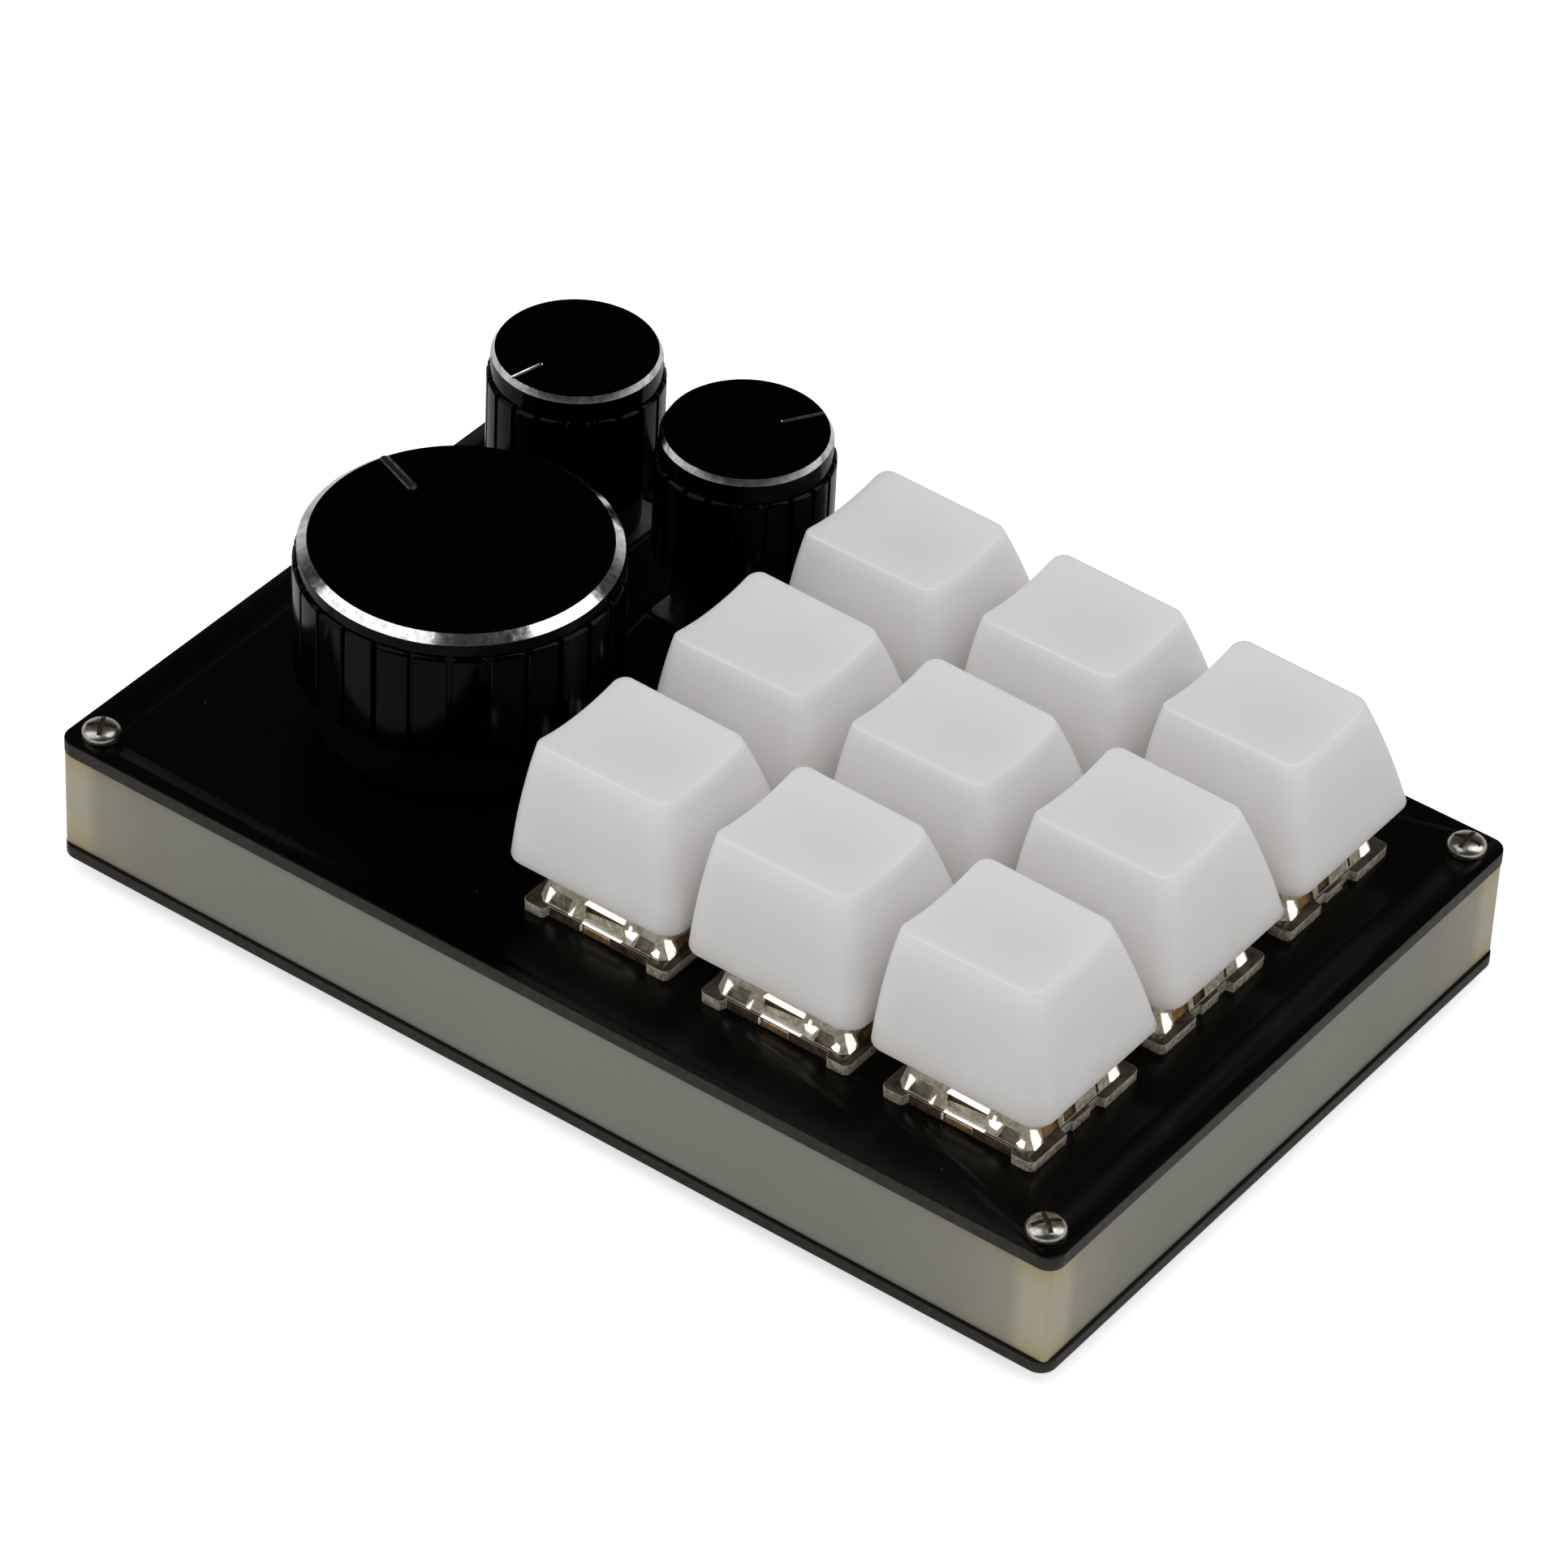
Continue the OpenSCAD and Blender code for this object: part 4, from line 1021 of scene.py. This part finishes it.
class KEYPAD_OT_keycaps(Builder, bpy.types.Operator):
    """Nine milky keycaps with a dish that runs front to back"""

    bl_idname = "keypad.keycaps"
    bl_label = "Keycaps"

    def execute(self, context):
        settings = context.scene.keypad_keycaps
        finish = cap_finish(settings)
        for i in KEYS:
            cap = self.cap(f"keycap_{i}_shown", settings, high(f"keycap_{i}") - low(f"keycap_{i}"))
            shift(cap, *KEY_SPOTS[i], low(f"keycap_{i}").z)
            dress(smooth(cap, 40), finish)
            keep(cap, f"key_{i}", "cap_white", f"keycap_{i}")
        return self.done()

    def cap(self, name, settings, size):
        """A cap about its key's centre, its lower edge at z = 0."""
        height = size.z
        radius = (settings.top_width / 2) ** 2 / (2 * settings.dish) + settings.dish / 2

        def dished(x):
            x = max(-settings.top_width / 2, min(settings.top_width / 2, x))
            return height - settings.dish + radius - math.sqrt(radius ** 2 - x ** 2)

        def level(up, inset=0.0):
            """The outline at a share of the height, pulled in by inset."""
            swell = 8 * settings.bulge * up * (1 - up) - 2 * inset
            wide = size.x + (settings.top_width - size.x) * up + swell
            front = wide - 0.4 * MM * up
            deep = size.y + (settings.top_length - size.y) * up + swell
            corner = settings.foot_corner + (settings.top_corner - settings.foot_corner) * up
            corner = max(0.15 * MM, corner - inset * 0.8)
            return rounded(wide, deep, corner, (0, settings.setback * up), 8, 10, front)

        edge, wall, lip = settings.edge, settings.wall, 0.15 * MM
        rings = []
        # Up the hollow's roof and wall, then round the lip, up the side, and in over the dish
        inner_top = height - settings.dish - wall
        for up, inset in ((0.78, wall + 1.4 * MM), (0.775, wall + 0.6 * MM),
                          (0.74, wall + 0.1 * MM), (0.5, wall), (0.0, wall),
                          (0.0, wall - 0.1 * MM), (0.0, lip)):
            z = min(up * height, inner_top)
            rings.append([(p.x, p.y, z) for p in level(up, inset)])
        for turn in (30, 60, 90):
            a = math.radians(turn)
            rings.append([(p.x, p.y, lip * (1 - math.cos(a)))
                          for p in level(0.0, lip * (1 - math.sin(a)))])
        steps = 12
        rise = 1 - edge / height
        for k in range(1, steps + 1):
            up = rise * k / steps
            rings.append([(p.x, p.y, up * height + (dished(p.x) - height) * up ** 2)
                          for p in level(up)])
        for turn in (15, 30, 45, 60, 75, 90):
            a = math.radians(turn)
            up = rise + (1 - rise) * math.sin(a)
            rings.append([(p.x, p.y, dished(p.x) - edge * (1 - math.sin(a)))
                          for p in level(up, edge * (1 - math.cos(a)) * 0.9)])
        last = rings[-1]
        for scale in (0.93, 0.8, 0.6, 0.4, 0.2, 0.05):
            rings.append([(x * scale, settings.setback + (y - settings.setback) * scale,
                           dished(x * scale)) for x, y, _ in last])
        return join(name, from_rings(name, rings), self.post(inner_top))

    def post(self, roof):
        """The round post under a cap's roof, with the cross slot for the stem."""
        radius, foot, long, wide, deep = 2.75 * MM, 0.55 * MM, 4.06 * MM, 1.24 * MM, 3.6 * MM
        slots = [box("slot", (*size, deep), (0, 0, foot - 0.05 * MM + deep / 2))
                 for size in ((long, wide), (wide, long))]
        return carve(prism("post", circle(radius, 32), foot, roof + 0.2 * MM), *slots)


class KEYPAD_OT_switches(Builder, bpy.types.Operator):
    """Clear switch housings with their contact springs and stems"""

    bl_idname = "keypad.switches"
    bl_label = "Switches"

    def execute(self, context):
        settings = context.scene.keypad_switches
        plastic = tuple(settings.plastic)
        clear = clear_finish("clear_cover_plastic", plastic, 0.22, 0.42, 0.9 * MM)
        # Painted shade: a darker copy of the clear plastic for the sunk panels
        panel_shade_paint = clear_finish("clear_panel_painted_shade", shade(plastic, 0.52), 0.40, 0.40, 0.9 * MM)
        # Painted shade on the flange's top, painted light on its corner tabs and walls, and painted
        # brown shade in its side recesses
        flange = clear_finish("clear_flange_painted_shade", (0.26, 0.20, 0.155), 0.60, 0.60, 1.2 * MM)
        tab = clear_finish("clear_tab_painted_light", shade(plastic, 0.66), 0.15, 0.30, 1.2 * MM)
        wall = clear_finish("clear_wall_painted_light", shade(plastic, 0.85), 0.25, 0.55, 0.7 * MM)
        recess = plain_finish("brown_recess_painted_shade", (0.085, 0.050, 0.036), 0.25, swing=0.6,
                              cloud=0.8 * MM)
        # Painted glints: white facets that glow as if lit, though no lamp lights them
        glint_paint = plain_finish("painted_glint_facet", (0.93, 0.92, 0.87), 0.12, 0.0, swing=0.04,
                             Emission_Strength=settings.glint_paint_glow,
                             Emission_Color=(1.0, 0.98, 0.90, 1.0))
        # Painted highlight: a lighter copy of the clear plastic for rounded rims and thin strips
        rim = plain_finish("painted_rim_highlight", shade(plastic, 1.05), 0.15, swing=0.3, cloud=1.2 * MM)
        copper = plain_finish("contact_copper", tuple(settings.copper), 0.3, 0.6, swing=0.5,
                              cloud=0.9 * MM)
        # Painted shade: dark amber in the window's upper strip and in the slots of the cover
        amber_shade_paint = plain_finish("amber_painted_shade", (0.16, 0.10, 0.045), 0.25, swing=0.4, cloud=1.0 * MM)
        base = on_keys("switch_bases_shown",
                       self.base(settings, flange, rim, copper, tab, wall, recess), flange)
        cover = on_keys("switch_covers_shown",
                        self.cover(settings, clear, panel_shade_paint, rim, glint_paint, amber_shade_paint, copper), clear)
        for thing, slot, node in ((base, "switch_base", "switch_bases"),
                                  (cover, "switch_cover", "switch_covers")):
            shift(thing, z=PLATE_TOP)
            keep(smooth(thing, 25), "base", slot, node)
        coat(copper, "switch_contacts")
        coat(plain_finish("stem_plastic", (0.75, 0.73, 0.68), 0.35),
             *[f"key_stem_{i}" for i in KEYS])
        return self.done()

    def flange_plan(self, side):
        """Outline of the flange: corner tabs, side recesses and a middle tab front and back."""
        half, turn_in = side / 2, 0.15 * MM
        side_edge, side_run = half - FLANGE_RECESS, half - FLANGE_CORNER
        end_edge, end_run = half - 0.75 * MM, half - 5.0 * MM
        tab_half, tab_edge = 1.2 * MM, half - 0.45 * MM
        outer, inner = 0.62 * MM, 0.32 * MM
        front = [(-end_run - inner * 0.3, -half), (-end_run, -half + inner * 0.3),
                 (-end_run + turn_in, -end_edge), (-tab_half - turn_in, -end_edge),
                 (-tab_half, -tab_edge)]
        front += [(-x, y) for x, y in reversed(front)]
        corner = arc(half - outer, -half + outer, outer, (-90, -60, -30, 0))
        right = arc(half - inner, -side_run - inner, inner, (0, 30, 60))
        right += [(side_edge, -side_run + turn_in)]
        right += [(x, -y) for x, y in reversed(right)]
        upper = arc(half - outer, half - outer, outer, (0, 30, 60, 90))
        whole = front + corner + right + upper
        return whole + [(-x, -y) for x, y in whole]

    def base(self, settings, clear, rim, copper, tab, wall_light_paint, recess):
        """The lower housing about the key's centre, with the top of the plate at z = 0."""
        side, wall, floor, over = SWITCH_WINDOW - 0.1 * MM, 1.3 * MM, 1.2 * MM, 1.0 * MM
        depth = low("switch_bases").z - PLATE_TOP
        foot = low("circuit_board").z + BOARD - PLATE_TOP
        flange = prism("flange", self.flange_plan(settings.flange), 0.0, settings.flange_height)
        carve(flange, box("tub", (side, side, -foot), (0, 0, foot / 2)), mode="UNION")
        inner = side - 2 * wall
        carve(flange, box("inner", (inner, inner, -foot + 2 * over),
                          (0, 0, foot / 2 + floor + over)))
        dress(flange, clear, rim, copper, tab, wall_light_paint, recess)
        # Beside each side recess a copper band and a thin strip of painted rim highlight
        for turn in (0.0, math.pi):
            for start, end, finish in ((-1.2, 1.5, copper), (1.75, 1.95, rim)):
                band = box("band", (0.24 * MM, (end - start) * MM, 0.62 * MM),
                           (-settings.flange / 2 + FLANGE_RECESS, (start + end) / 2 * MM,
                            0.52 * MM))
                dress(shift(band, turn=turn), finish)
                carve(flange, band, mode="UNION")
        # The rounded edges take the painted rim highlight
        soften(flange, 0.13 * MM, 2, 35, 1)
        # Painted light and shade by face: tops near the two outer corners, on the tabs, take the
        # lit copy and the other tops the dark one; walls take a pale lit copy and the walls of the
        # side recesses painted brown shade
        half, tab_reach = settings.flange / 2, 3.2 * MM
        for face in flange.data.polygons:
            x, y, z = face.center
            if z < 0 or face.material_index:
                continue
            if face.normal.z > 0.5:
                near = x * y > 0 and min(abs(x), abs(y)) > half - tab_reach
                face.material_index = 3 if near else 0
            elif abs(face.normal.z) < 0.5:
                inner = abs(face.normal.x) > 0.5 and abs(y) < half - FLANGE_CORNER
                face.material_index = 5 if inner else 4
        # The peg below the floor, the spring's tube above it, and the bore for the stem's pin
        peg, tube, bore = (dress(prism("post", circle(radius, 32), *reach), clear)
                           for radius, reach in (
            (2.0 * MM, (depth, foot + 0.5 * MM)),
            (1.6 * MM, (foot + floor / 2, foot + floor + 2.2 * MM)),
            (1.1 * MM, (depth + 0.4 * MM, foot + floor + 2.8 * MM))))
        carve(flange, peg, tube, mode="UNION")
        carve(flange, bore)
        flange.name = "switch_base"
        return flange

    def cover(self, settings, clear, panel_shade_paint, rim, glint_paint, amber_shade_paint, copper):
        """The upper housing: corner facets, sunk panels and a lens frame at the sides, with painted
        glints, painted shade and painted rim highlights.
        """
        bottom, top = settings.flange_height, high("switch_covers").z - PLATE_TOP
        foot, head = settings.cover_base, settings.cover_top
        cut_low, cut_high = 0.70 * MM, 0.55 * MM

        def outline(side, cut):
            half = side / 2
            return [(-half + cut, -half), (half - cut, -half), (half, -half + cut),
                    (half, half - cut), (half - cut, half), (-half + cut, half),
                    (-half, half - cut), (-half, -half + cut)]

        def tapered(name, foot, bottom, head, top):
            return from_rings(name, [[(x, y, bottom) for x, y in outline(foot, cut_low)],
                                     [(x, y, top) for x, y in outline(head, cut_high)]])

        wall = 1.0 * MM
        shell = dress(tapered("switch_cover", foot, bottom, head, top), clear, panel_shade_paint)
        hollow = tapered("hollow", foot - 2 * wall, bottom - 0.1 * MM,
                         head - 2 * wall + 0.3 * MM, top - wall)
        opening = box("opening", (6.0 * MM, 7.3 * MM, 4 * MM), (0, 0, top))
        carve(shell, dress(hollow, clear), dress(opening, clear))
        lean = math.atan((foot - head) / 2 / (top - bottom))
        sides = (0, 2)
        fronts = (1, 3)
        # Sunk areas in painted shade, copper or clear plastic, then facets that stand proud and
        # carry painted glints or rim highlights. Each has its faces, finish, depth from and to
        # outwards of the face, and outline as (along, up), all in millimetres
        sunk, inside = 0.5, -0.2
        areas = (
            (sides, panel_shade_paint, -0.35, sunk, ((-5.5, 1.15), (-3.55, 1.15), (-3.3, 2.5), (-5.2, 2.5))),
            (sides, panel_shade_paint, -0.35, sunk, ((3.6, 1.1), (5.75, 1.1), (5.5, 2.4), (4.0, 2.4))),
            (sides, amber_shade_paint, -0.60, sunk, ((-1.8, 1.9), (2.2, 2.25), (2.2, 2.68), (-1.85, 2.72))),
            (sides, clear, -0.30, sunk, ((-1.6, 1.45), (2.2, 1.45), (2.2, 2.26), (-1.8, 1.91))),
            (fronts, copper, -0.25, sunk, ((-4.9, 1.0), (-2.6, 1.0), (-2.7, 2.1), (-5.0, 2.3))),
            (fronts, amber_shade_paint, -0.30, sunk, ((-1.9, 1.1), (-0.2, 1.1), (-0.2, 2.2), (-1.9, 2.2))),
            (fronts, amber_shade_paint, -0.35, sunk, ((2.75, 1.15), (3.05, 1.15), (3.05, 2.3), (2.75, 2.3))),
            (sides, glint_paint, inside, 0.05, ((-5.95, 1.08), (-5.7, 1.08), (-5.2, 2.25), (-5.3, 2.5),
                                          (-5.75, 2.6))),
            (sides, glint_paint, inside, 0.06, ((-3.45, 0.98), (-3.05, 0.98), (-2.88, 2.0))),
            (sides, glint_paint, inside, 0.22, ((-1.95, 2.74), (2.3, 2.68), (2.35, 3.1), (-1.65, 3.16))),
            (sides, rim, inside, 0.20, ((-1.65, 1.2), (2.3, 1.2), (2.3, 1.46), (-1.6, 1.46))),
            (sides, glint_paint, inside, 0.26, ((-1.8, 0.98), (2.35, 0.98), (2.35, 1.2), (-1.7, 1.2))),
            (sides, glint_paint, inside, 0.06, ((2.75, 2.3), (3.02, 2.25), (3.1, 2.75), (2.82, 2.8))),
            (sides, rim, inside, 0.07, ((2.8, 1.2), (3.2, 1.05), (3.65, 1.9), (2.6, 1.9))),
            (sides, glint_paint, inside, 0.10, ((2.68, 1.75), (3.4, 1.65), (3.8, 2.35), (3.6, 2.47),
                                          (2.45, 2.2))),
            (sides, glint_paint, inside, 0.06, ((5.4, 1.4), (5.75, 1.2), (6.2, 1.25), (6.15, 1.8),
                                          (5.85, 2.0))),
            (fronts, glint_paint, inside, 0.06, ((4.65, 1.1), (5.1, 1.0), (6.0, 1.05), (5.6, 2.3),
                                           (4.65, 2.2))),
            (fronts, glint_paint, inside, 0.06, ((-6.25, 1.0), (-5.45, 1.05), (-5.2, 1.5),
                                           (-5.6, 2.65), (-6.15, 2.9))),
        )
        for faces, finish, start, end, points in areas:
            mode = "DIFFERENCE" if end == sunk else "UNION"
            for quarter in faces:
                tool = dress(self.inlay(points, (start, end), foot / 2, lean, quarter), finish)
                carve(shell, tool, mode=mode)
        return soften(shell, 0.06 * MM, 2, 35)

    def inlay(self, points, depth, out, lean, quarter):
        """A block over an area of one side, whose foot is 1 mm above the plate. depth runs from
        and to, outwards from the face."""
        rise = MM / math.cos(lean)
        rings = [[(d * MM, along * MM, (up - 1.0) * rise) for along, up in points] for d in depth]
        tool = from_rings("inlay", rings)
        tool.data.transform(
            Matrix.Rotation(math.pi * (1 + quarter / 2), 4, "Z")
            @ Matrix.Translation((out, 0.0, MM)) @ Matrix.Rotation(-lean, 4, "Y"))
        return tool


class KEYPAD_OT_springs(Builder, bpy.types.Operator):
    """Nine coil springs"""

    bl_idname = "keypad.springs"
    bl_label = "Springs"

    def execute(self, context):
        finish = plain_finish("spring_steel", (0.72, 0.69, 0.62), 0.25, 1.0)
        for i in KEYS:
            node = f"key_spring_{i}"
            foot, head = low(node).z, high(node).z
            coil = self.coil(node + "_shown", foot, head)
            shift(coil, *KEY_SPOTS[i])
            dress(smooth(coil, 60), finish)
            keep(coil, "base", "spring_steel", node)
            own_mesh(coil)
        return self.done()

    def coil(self, name, bottom, top, turns=8, steps=20, sides=8):
        """A round wire along a helix about the z axis."""
        wire, mean = 0.15 * MM, 2.05 * MM
        start, end = bottom + wire, top - wire
        section = circle(wire, sides)
        rings = []
        for k in range(turns * steps + 1):
            a = math.tau * k / steps
            rise = start + (end - start) * k / (turns * steps)
            rings.append([((mean + out) * math.cos(a), (mean + out) * math.sin(a), rise - up)
                          for out, up in section])
        return from_rings(name, rings)


class KEYPAD_OT_knobs(Builder, bpy.types.Operator):
    """Three knobs: turned shells with a bright cut edge, ribs and pointer, on plastic cores"""

    bl_idname = "keypad.knobs"
    bl_label = "Knobs"

    def execute(self, context):
        settings = context.scene.keypad_knobs
        disc, body, cut = disc_finish(settings), anodised_finish(settings), cut_finish(settings)
        core_finish = plain_finish("core_plastic", (0.0008, 0.0008, 0.0008), 0.45,
                                   Specular_IOR_Level=0.08)
        dark_cut = plain_finish("dull_cut", (0.10, 0.10, 0.10), 0.35, 1.0)
        ribs = round_pattern()
        slip, rib_depth = 0.02 * MM, 0.35 * MM
        # The rim's width and drop, the collar's height, the turn of the ribs and of the pointer in
        # degrees, and the pointer line's inner end and width
        large = dict(ribs=settings.large_ribs, rim=0.9 * MM, rim_drop=0.68 * MM, collar=1.95 * MM)
        small = dict(ribs=settings.small_ribs, rim=0.36 * MM, rim_drop=0.58 * MM, collar=2.55 * MM)
        plans = {
            1: dict(large, turn=221.37, pointer=69, line=(8.5 * MM, 0.95 * MM), outlined=True),
            2: dict(small, turn=183, pointer=167, line=(4.2 * MM, 0.42 * MM), outlined=False),
            3: dict(small, turn=219.8, pointer=-31, line=(3.5 * MM, 0.42 * MM), outlined=False),
        }
        for i, plan in plans.items():
            node, core_node = f"knob_shell_{i}", f"knob_core_{i}"
            top, bottom = high(node).z, low(node).z
            outer = (high(node) - low(node)).x / 2 - slip
            collar = outer - rib_depth
            foot, head = low(core_node), high(core_node)
            shell = self.shell(node + "_body", plan, collar, bottom, top, foot, head)
            dress(shell, disc, cut, body, dark_cut)
            self.pointer(shell, plan, collar, top, cut, dark_cut)
            smooth(shell, 20, LARGE_FACE)
            rib = self.rib(plan["ribs"], collar, outer, bottom, top - plan["collar"],
                           settings.rib_gap)
            ring = ribs.grow(node + "_ribs", Part=rib, Count=plan["ribs"], Finish=body)
            discard(rib)
            shift(ring, turn=math.radians(plan["turn"]))
            smooth(ring, 28)
            whole = join(node + "_shown", shell, ring)
            shift(whole, *KNOB_SPOTS[i])
            keep(whole, f"knob_{i}", "knob_black", node)
            core = self.core(core_node + "_shown", foot, head)
            shift(core, *KNOB_SPOTS[i])
            dress(smooth(core, 35), core_finish)
            keep(core, f"knob_{i}", "core_plastic", core_node)
        return self.done()

    def shell(self, name, plan, collar, bottom, top, core_foot, core_head):
        """The turned shell: disc, cut edge, collar, and the wall behind the ribs."""
        rim, drop = plan["rim"], plan["rim_drop"]
        slip, edge, step = 0.02 * MM, 0.1 * MM, 0.05 * MM
        inner = (core_head - core_foot).x / 2 + slip
        roof, face = core_head.z, top - 0.02 * MM
        back = collar - 0.12 * MM
        shoulder = top - plan["collar"]
        profile = [
            (0, roof), (inner, roof), (inner, bottom), (back - edge, bottom),
            (back, bottom + edge), (back, shoulder + step),
            (collar - step, shoulder + 0.12 * MM), (collar, shoulder + 0.2 * MM),
            (collar, top - drop - 0.06 * MM), (collar - 0.03 * MM, top - drop),
            (collar - rim, top - 0.015 * MM), (collar - rim - slip, face),
            (collar - rim - 0.3 * MM, face), (0, face),
        ]
        # Each stretch of the profile has its finish: the sides, the bright cut, then the disc
        sides, cut, disc = 2, 1, 0
        return lathe(name, profile, 144, [sides] * 9 + [cut] + [disc] * 3)

    def pointer(self, shell, plan, collar, top, cut, dark):
        """Cuts the pointer line into the disc, from a round inner end out over the rim."""
        start, width = plan["line"]
        half, over = width / 2, 0.1 * MM

        def line(begin, end, half, low_z, high_z, finish):
            outline = [(end, -half), (end, half), *arc(begin, 0, half, range(90, 271, 20))]
            tool = dress(prism("line", outline, low_z, high_z), finish)
            return shift(tool, turn=math.radians(plan["pointer"]))

        end = collar + 0.5 * MM
        depth = 0.22 * MM if plan["outlined"] else 0.10 * MM
        carve(shell, line(start, end, half, top - depth, top + over, cut))
        if plan["outlined"]:
            inset = 0.26 * MM
            carve(shell, line(start + inset, end - 1.2 * MM, half - inset, top - depth - over,
                              top - 0.03 * MM, dark), mode="UNION")

    def rib(self, count, collar, outer, bottom, top, gap):
        """One rib at angle 0: a curved pad with a sloped shoulder at its top."""
        half_turn = math.pi / count - gap / 2 / outer
        back, fillet, steps = collar - 0.3 * MM, 0.09 * MM, 6

        def ring(radius, z, squeeze=0.0):
            """One level: the back corners, two chamfers and the face's arc."""
            reach = half_turn - (squeeze + fillet) / radius
            side = half_turn - squeeze / radius
            turns = [reach * (2 * k / steps - 1) for k in range(steps + 1)]
            polar = [(radius - fillet, -side)] + [(radius, a) for a in turns]
            polar += [(radius - fillet, side), (back, half_turn * 0.98), (back, -half_turn * 0.98)]
            return [(r * math.cos(a), r * math.sin(a), z) for r, a in polar]

        return from_rings("rib", [
            ring(outer - 0.10 * MM, bottom, 0.05 * MM), ring(outer, bottom + 0.12 * MM),
            ring(outer, top - 0.30 * MM), ring(outer - 0.04 * MM, top - 0.24 * MM, 0.01 * MM),
            ring(outer - 0.24 * MM, top - 0.05 * MM, 0.04 * MM),
            ring(outer - 0.36 * MM, top, 0.06 * MM)])

    def core(self, name, foot, head):
        """The plastic core: a plain plug, hollow below round the bushing."""
        radius, recess, lip = (head - foot).x / 2, 3.9 * MM, 0.25 * MM
        deep, roof = high("encoder_covers").z + 0.7 * MM, head.z - 0.01 * MM
        return lathe(name, [
            (0, deep), (recess, deep), (recess, foot.z), (radius - lip, foot.z),
            (radius, foot.z + lip), (radius, roof), (0, roof)], 96)


class KEYPAD_OT_encoders(Builder, bpy.types.Operator):
    """Encoders under the knobs"""

    bl_idname = "keypad.encoders"
    bl_label = "Encoders"

    def execute(self, context):
        self.coats((
            ("bright_zinc", (0.66, 0.64, 0.58), 0.24, 1.0, ["encoder_covers"]),
            ("encoder_base_plastic", (0.02, 0.02, 0.022), 0.4, 0.0, ["encoder_bases"]),
            ("tinned_metal", (0.72, 0.72, 0.70), 0.3, 1.0,
             ["encoder_terminals", "encoder_click_domes"]),
            ("rotor_plastic", (0.80, 0.78, 0.70), 0.4, 0.0,
             [f"encoder_rotor_{i}" for i in KNOBS]),
            ("turned_aluminium", (0.70, 0.70, 0.69), 0.3, 1.0,
             [f"encoder_shaft_{i}" for i in KNOBS]),
        ))
        return self.done()


class KEYPAD_OT_electronics(Builder, bpy.types.Operator):
    """Circuit board, chip, sockets, key lamps and the inlet at the back"""

    bl_idname = "keypad.electronics"
    bl_label = "Electronics"

    def execute(self, context):
        self.coats((
            ("board_mask", (0.012, 0.012, 0.014), 0.35, 0.0, ["circuit_board"]),
            ("chip_resin", (0.03, 0.03, 0.032), 0.5, 0.0, ["controller_chip"]),
            ("socket_plastic", (0.03, 0.03, 0.03), 0.45, 0.0, ["hot_swap_sockets"]),
            ("lamp_lens", (0.86, 0.83, 0.70), 0.3, 0.0, ["switch_leds"]),
            ("inlet_steel", (0.70, 0.70, 0.71), 0.22, 1.0, ["usb_socket"]),
        ))
        coat(plain_finish("foot_rubber", (0.02, 0.02, 0.02), 0.75, Specular_IOR_Level=0.25),
             "rubber_feet")
        return self.done()


BUILDERS = (
    KEYPAD_OT_stage, KEYPAD_OT_plates, KEYPAD_OT_side_frame, KEYPAD_OT_screws,
    KEYPAD_OT_keycaps, KEYPAD_OT_switches, KEYPAD_OT_springs, KEYPAD_OT_knobs,
    KEYPAD_OT_encoders, KEYPAD_OT_electronics,
)


class KEYPAD_PT_panel(bpy.types.Panel):
    """Lists the keypad's pieces in the sidebar"""

    bl_idname = "KEYPAD_PT_panel"
    bl_label = "Macro Keypad"
    bl_space_type = "VIEW_3D"
    bl_region_type = "UI"
    bl_category = "Keypad"

    def draw(self, context):
        for builder in BUILDERS:
            self.layout.operator(builder.bl_idname)
        for name in SETTINGS:
            group = getattr(context.scene, name)
            box_layout = self.layout.box()
            for key in group.__annotations__:
                box_layout.prop(group, key)


SETTINGS = {
    "keypad_stage": StageSettings,
    "keypad_case": CaseSettings,
    "keypad_keycaps": KeycapSettings,
    "keypad_switches": SwitchSettings,
    "keypad_knobs": KnobSettings,
}


def register():
    for group in (*SETTINGS.values(), *BUILDERS, KEYPAD_PT_panel):
        bpy.utils.register_class(group)
    for name, group in SETTINGS.items():
        setattr(bpy.types.Scene, name, PointerProperty(type=group))


def unregister():
    for name in SETTINGS:
        delattr(bpy.types.Scene, name)
    for group in reversed((*SETTINGS.values(), *BUILDERS, KEYPAD_PT_panel)):
        bpy.utils.unregister_class(group)


def main():
    register()
    bpy.context.scene.view_settings.view_transform = "Standard"
    bpy.ops.keypad.stage()
    bpy.ops.keypad.plates()
    bpy.ops.keypad.side_frame()
    bpy.ops.keypad.screws()
    bpy.ops.keypad.keycaps()
    bpy.ops.keypad.switches()
    bpy.ops.keypad.springs()
    bpy.ops.keypad.knobs()
    bpy.ops.keypad.encoders()
    bpy.ops.keypad.electronics()
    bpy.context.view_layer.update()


if __name__ == "__main__":
    main()
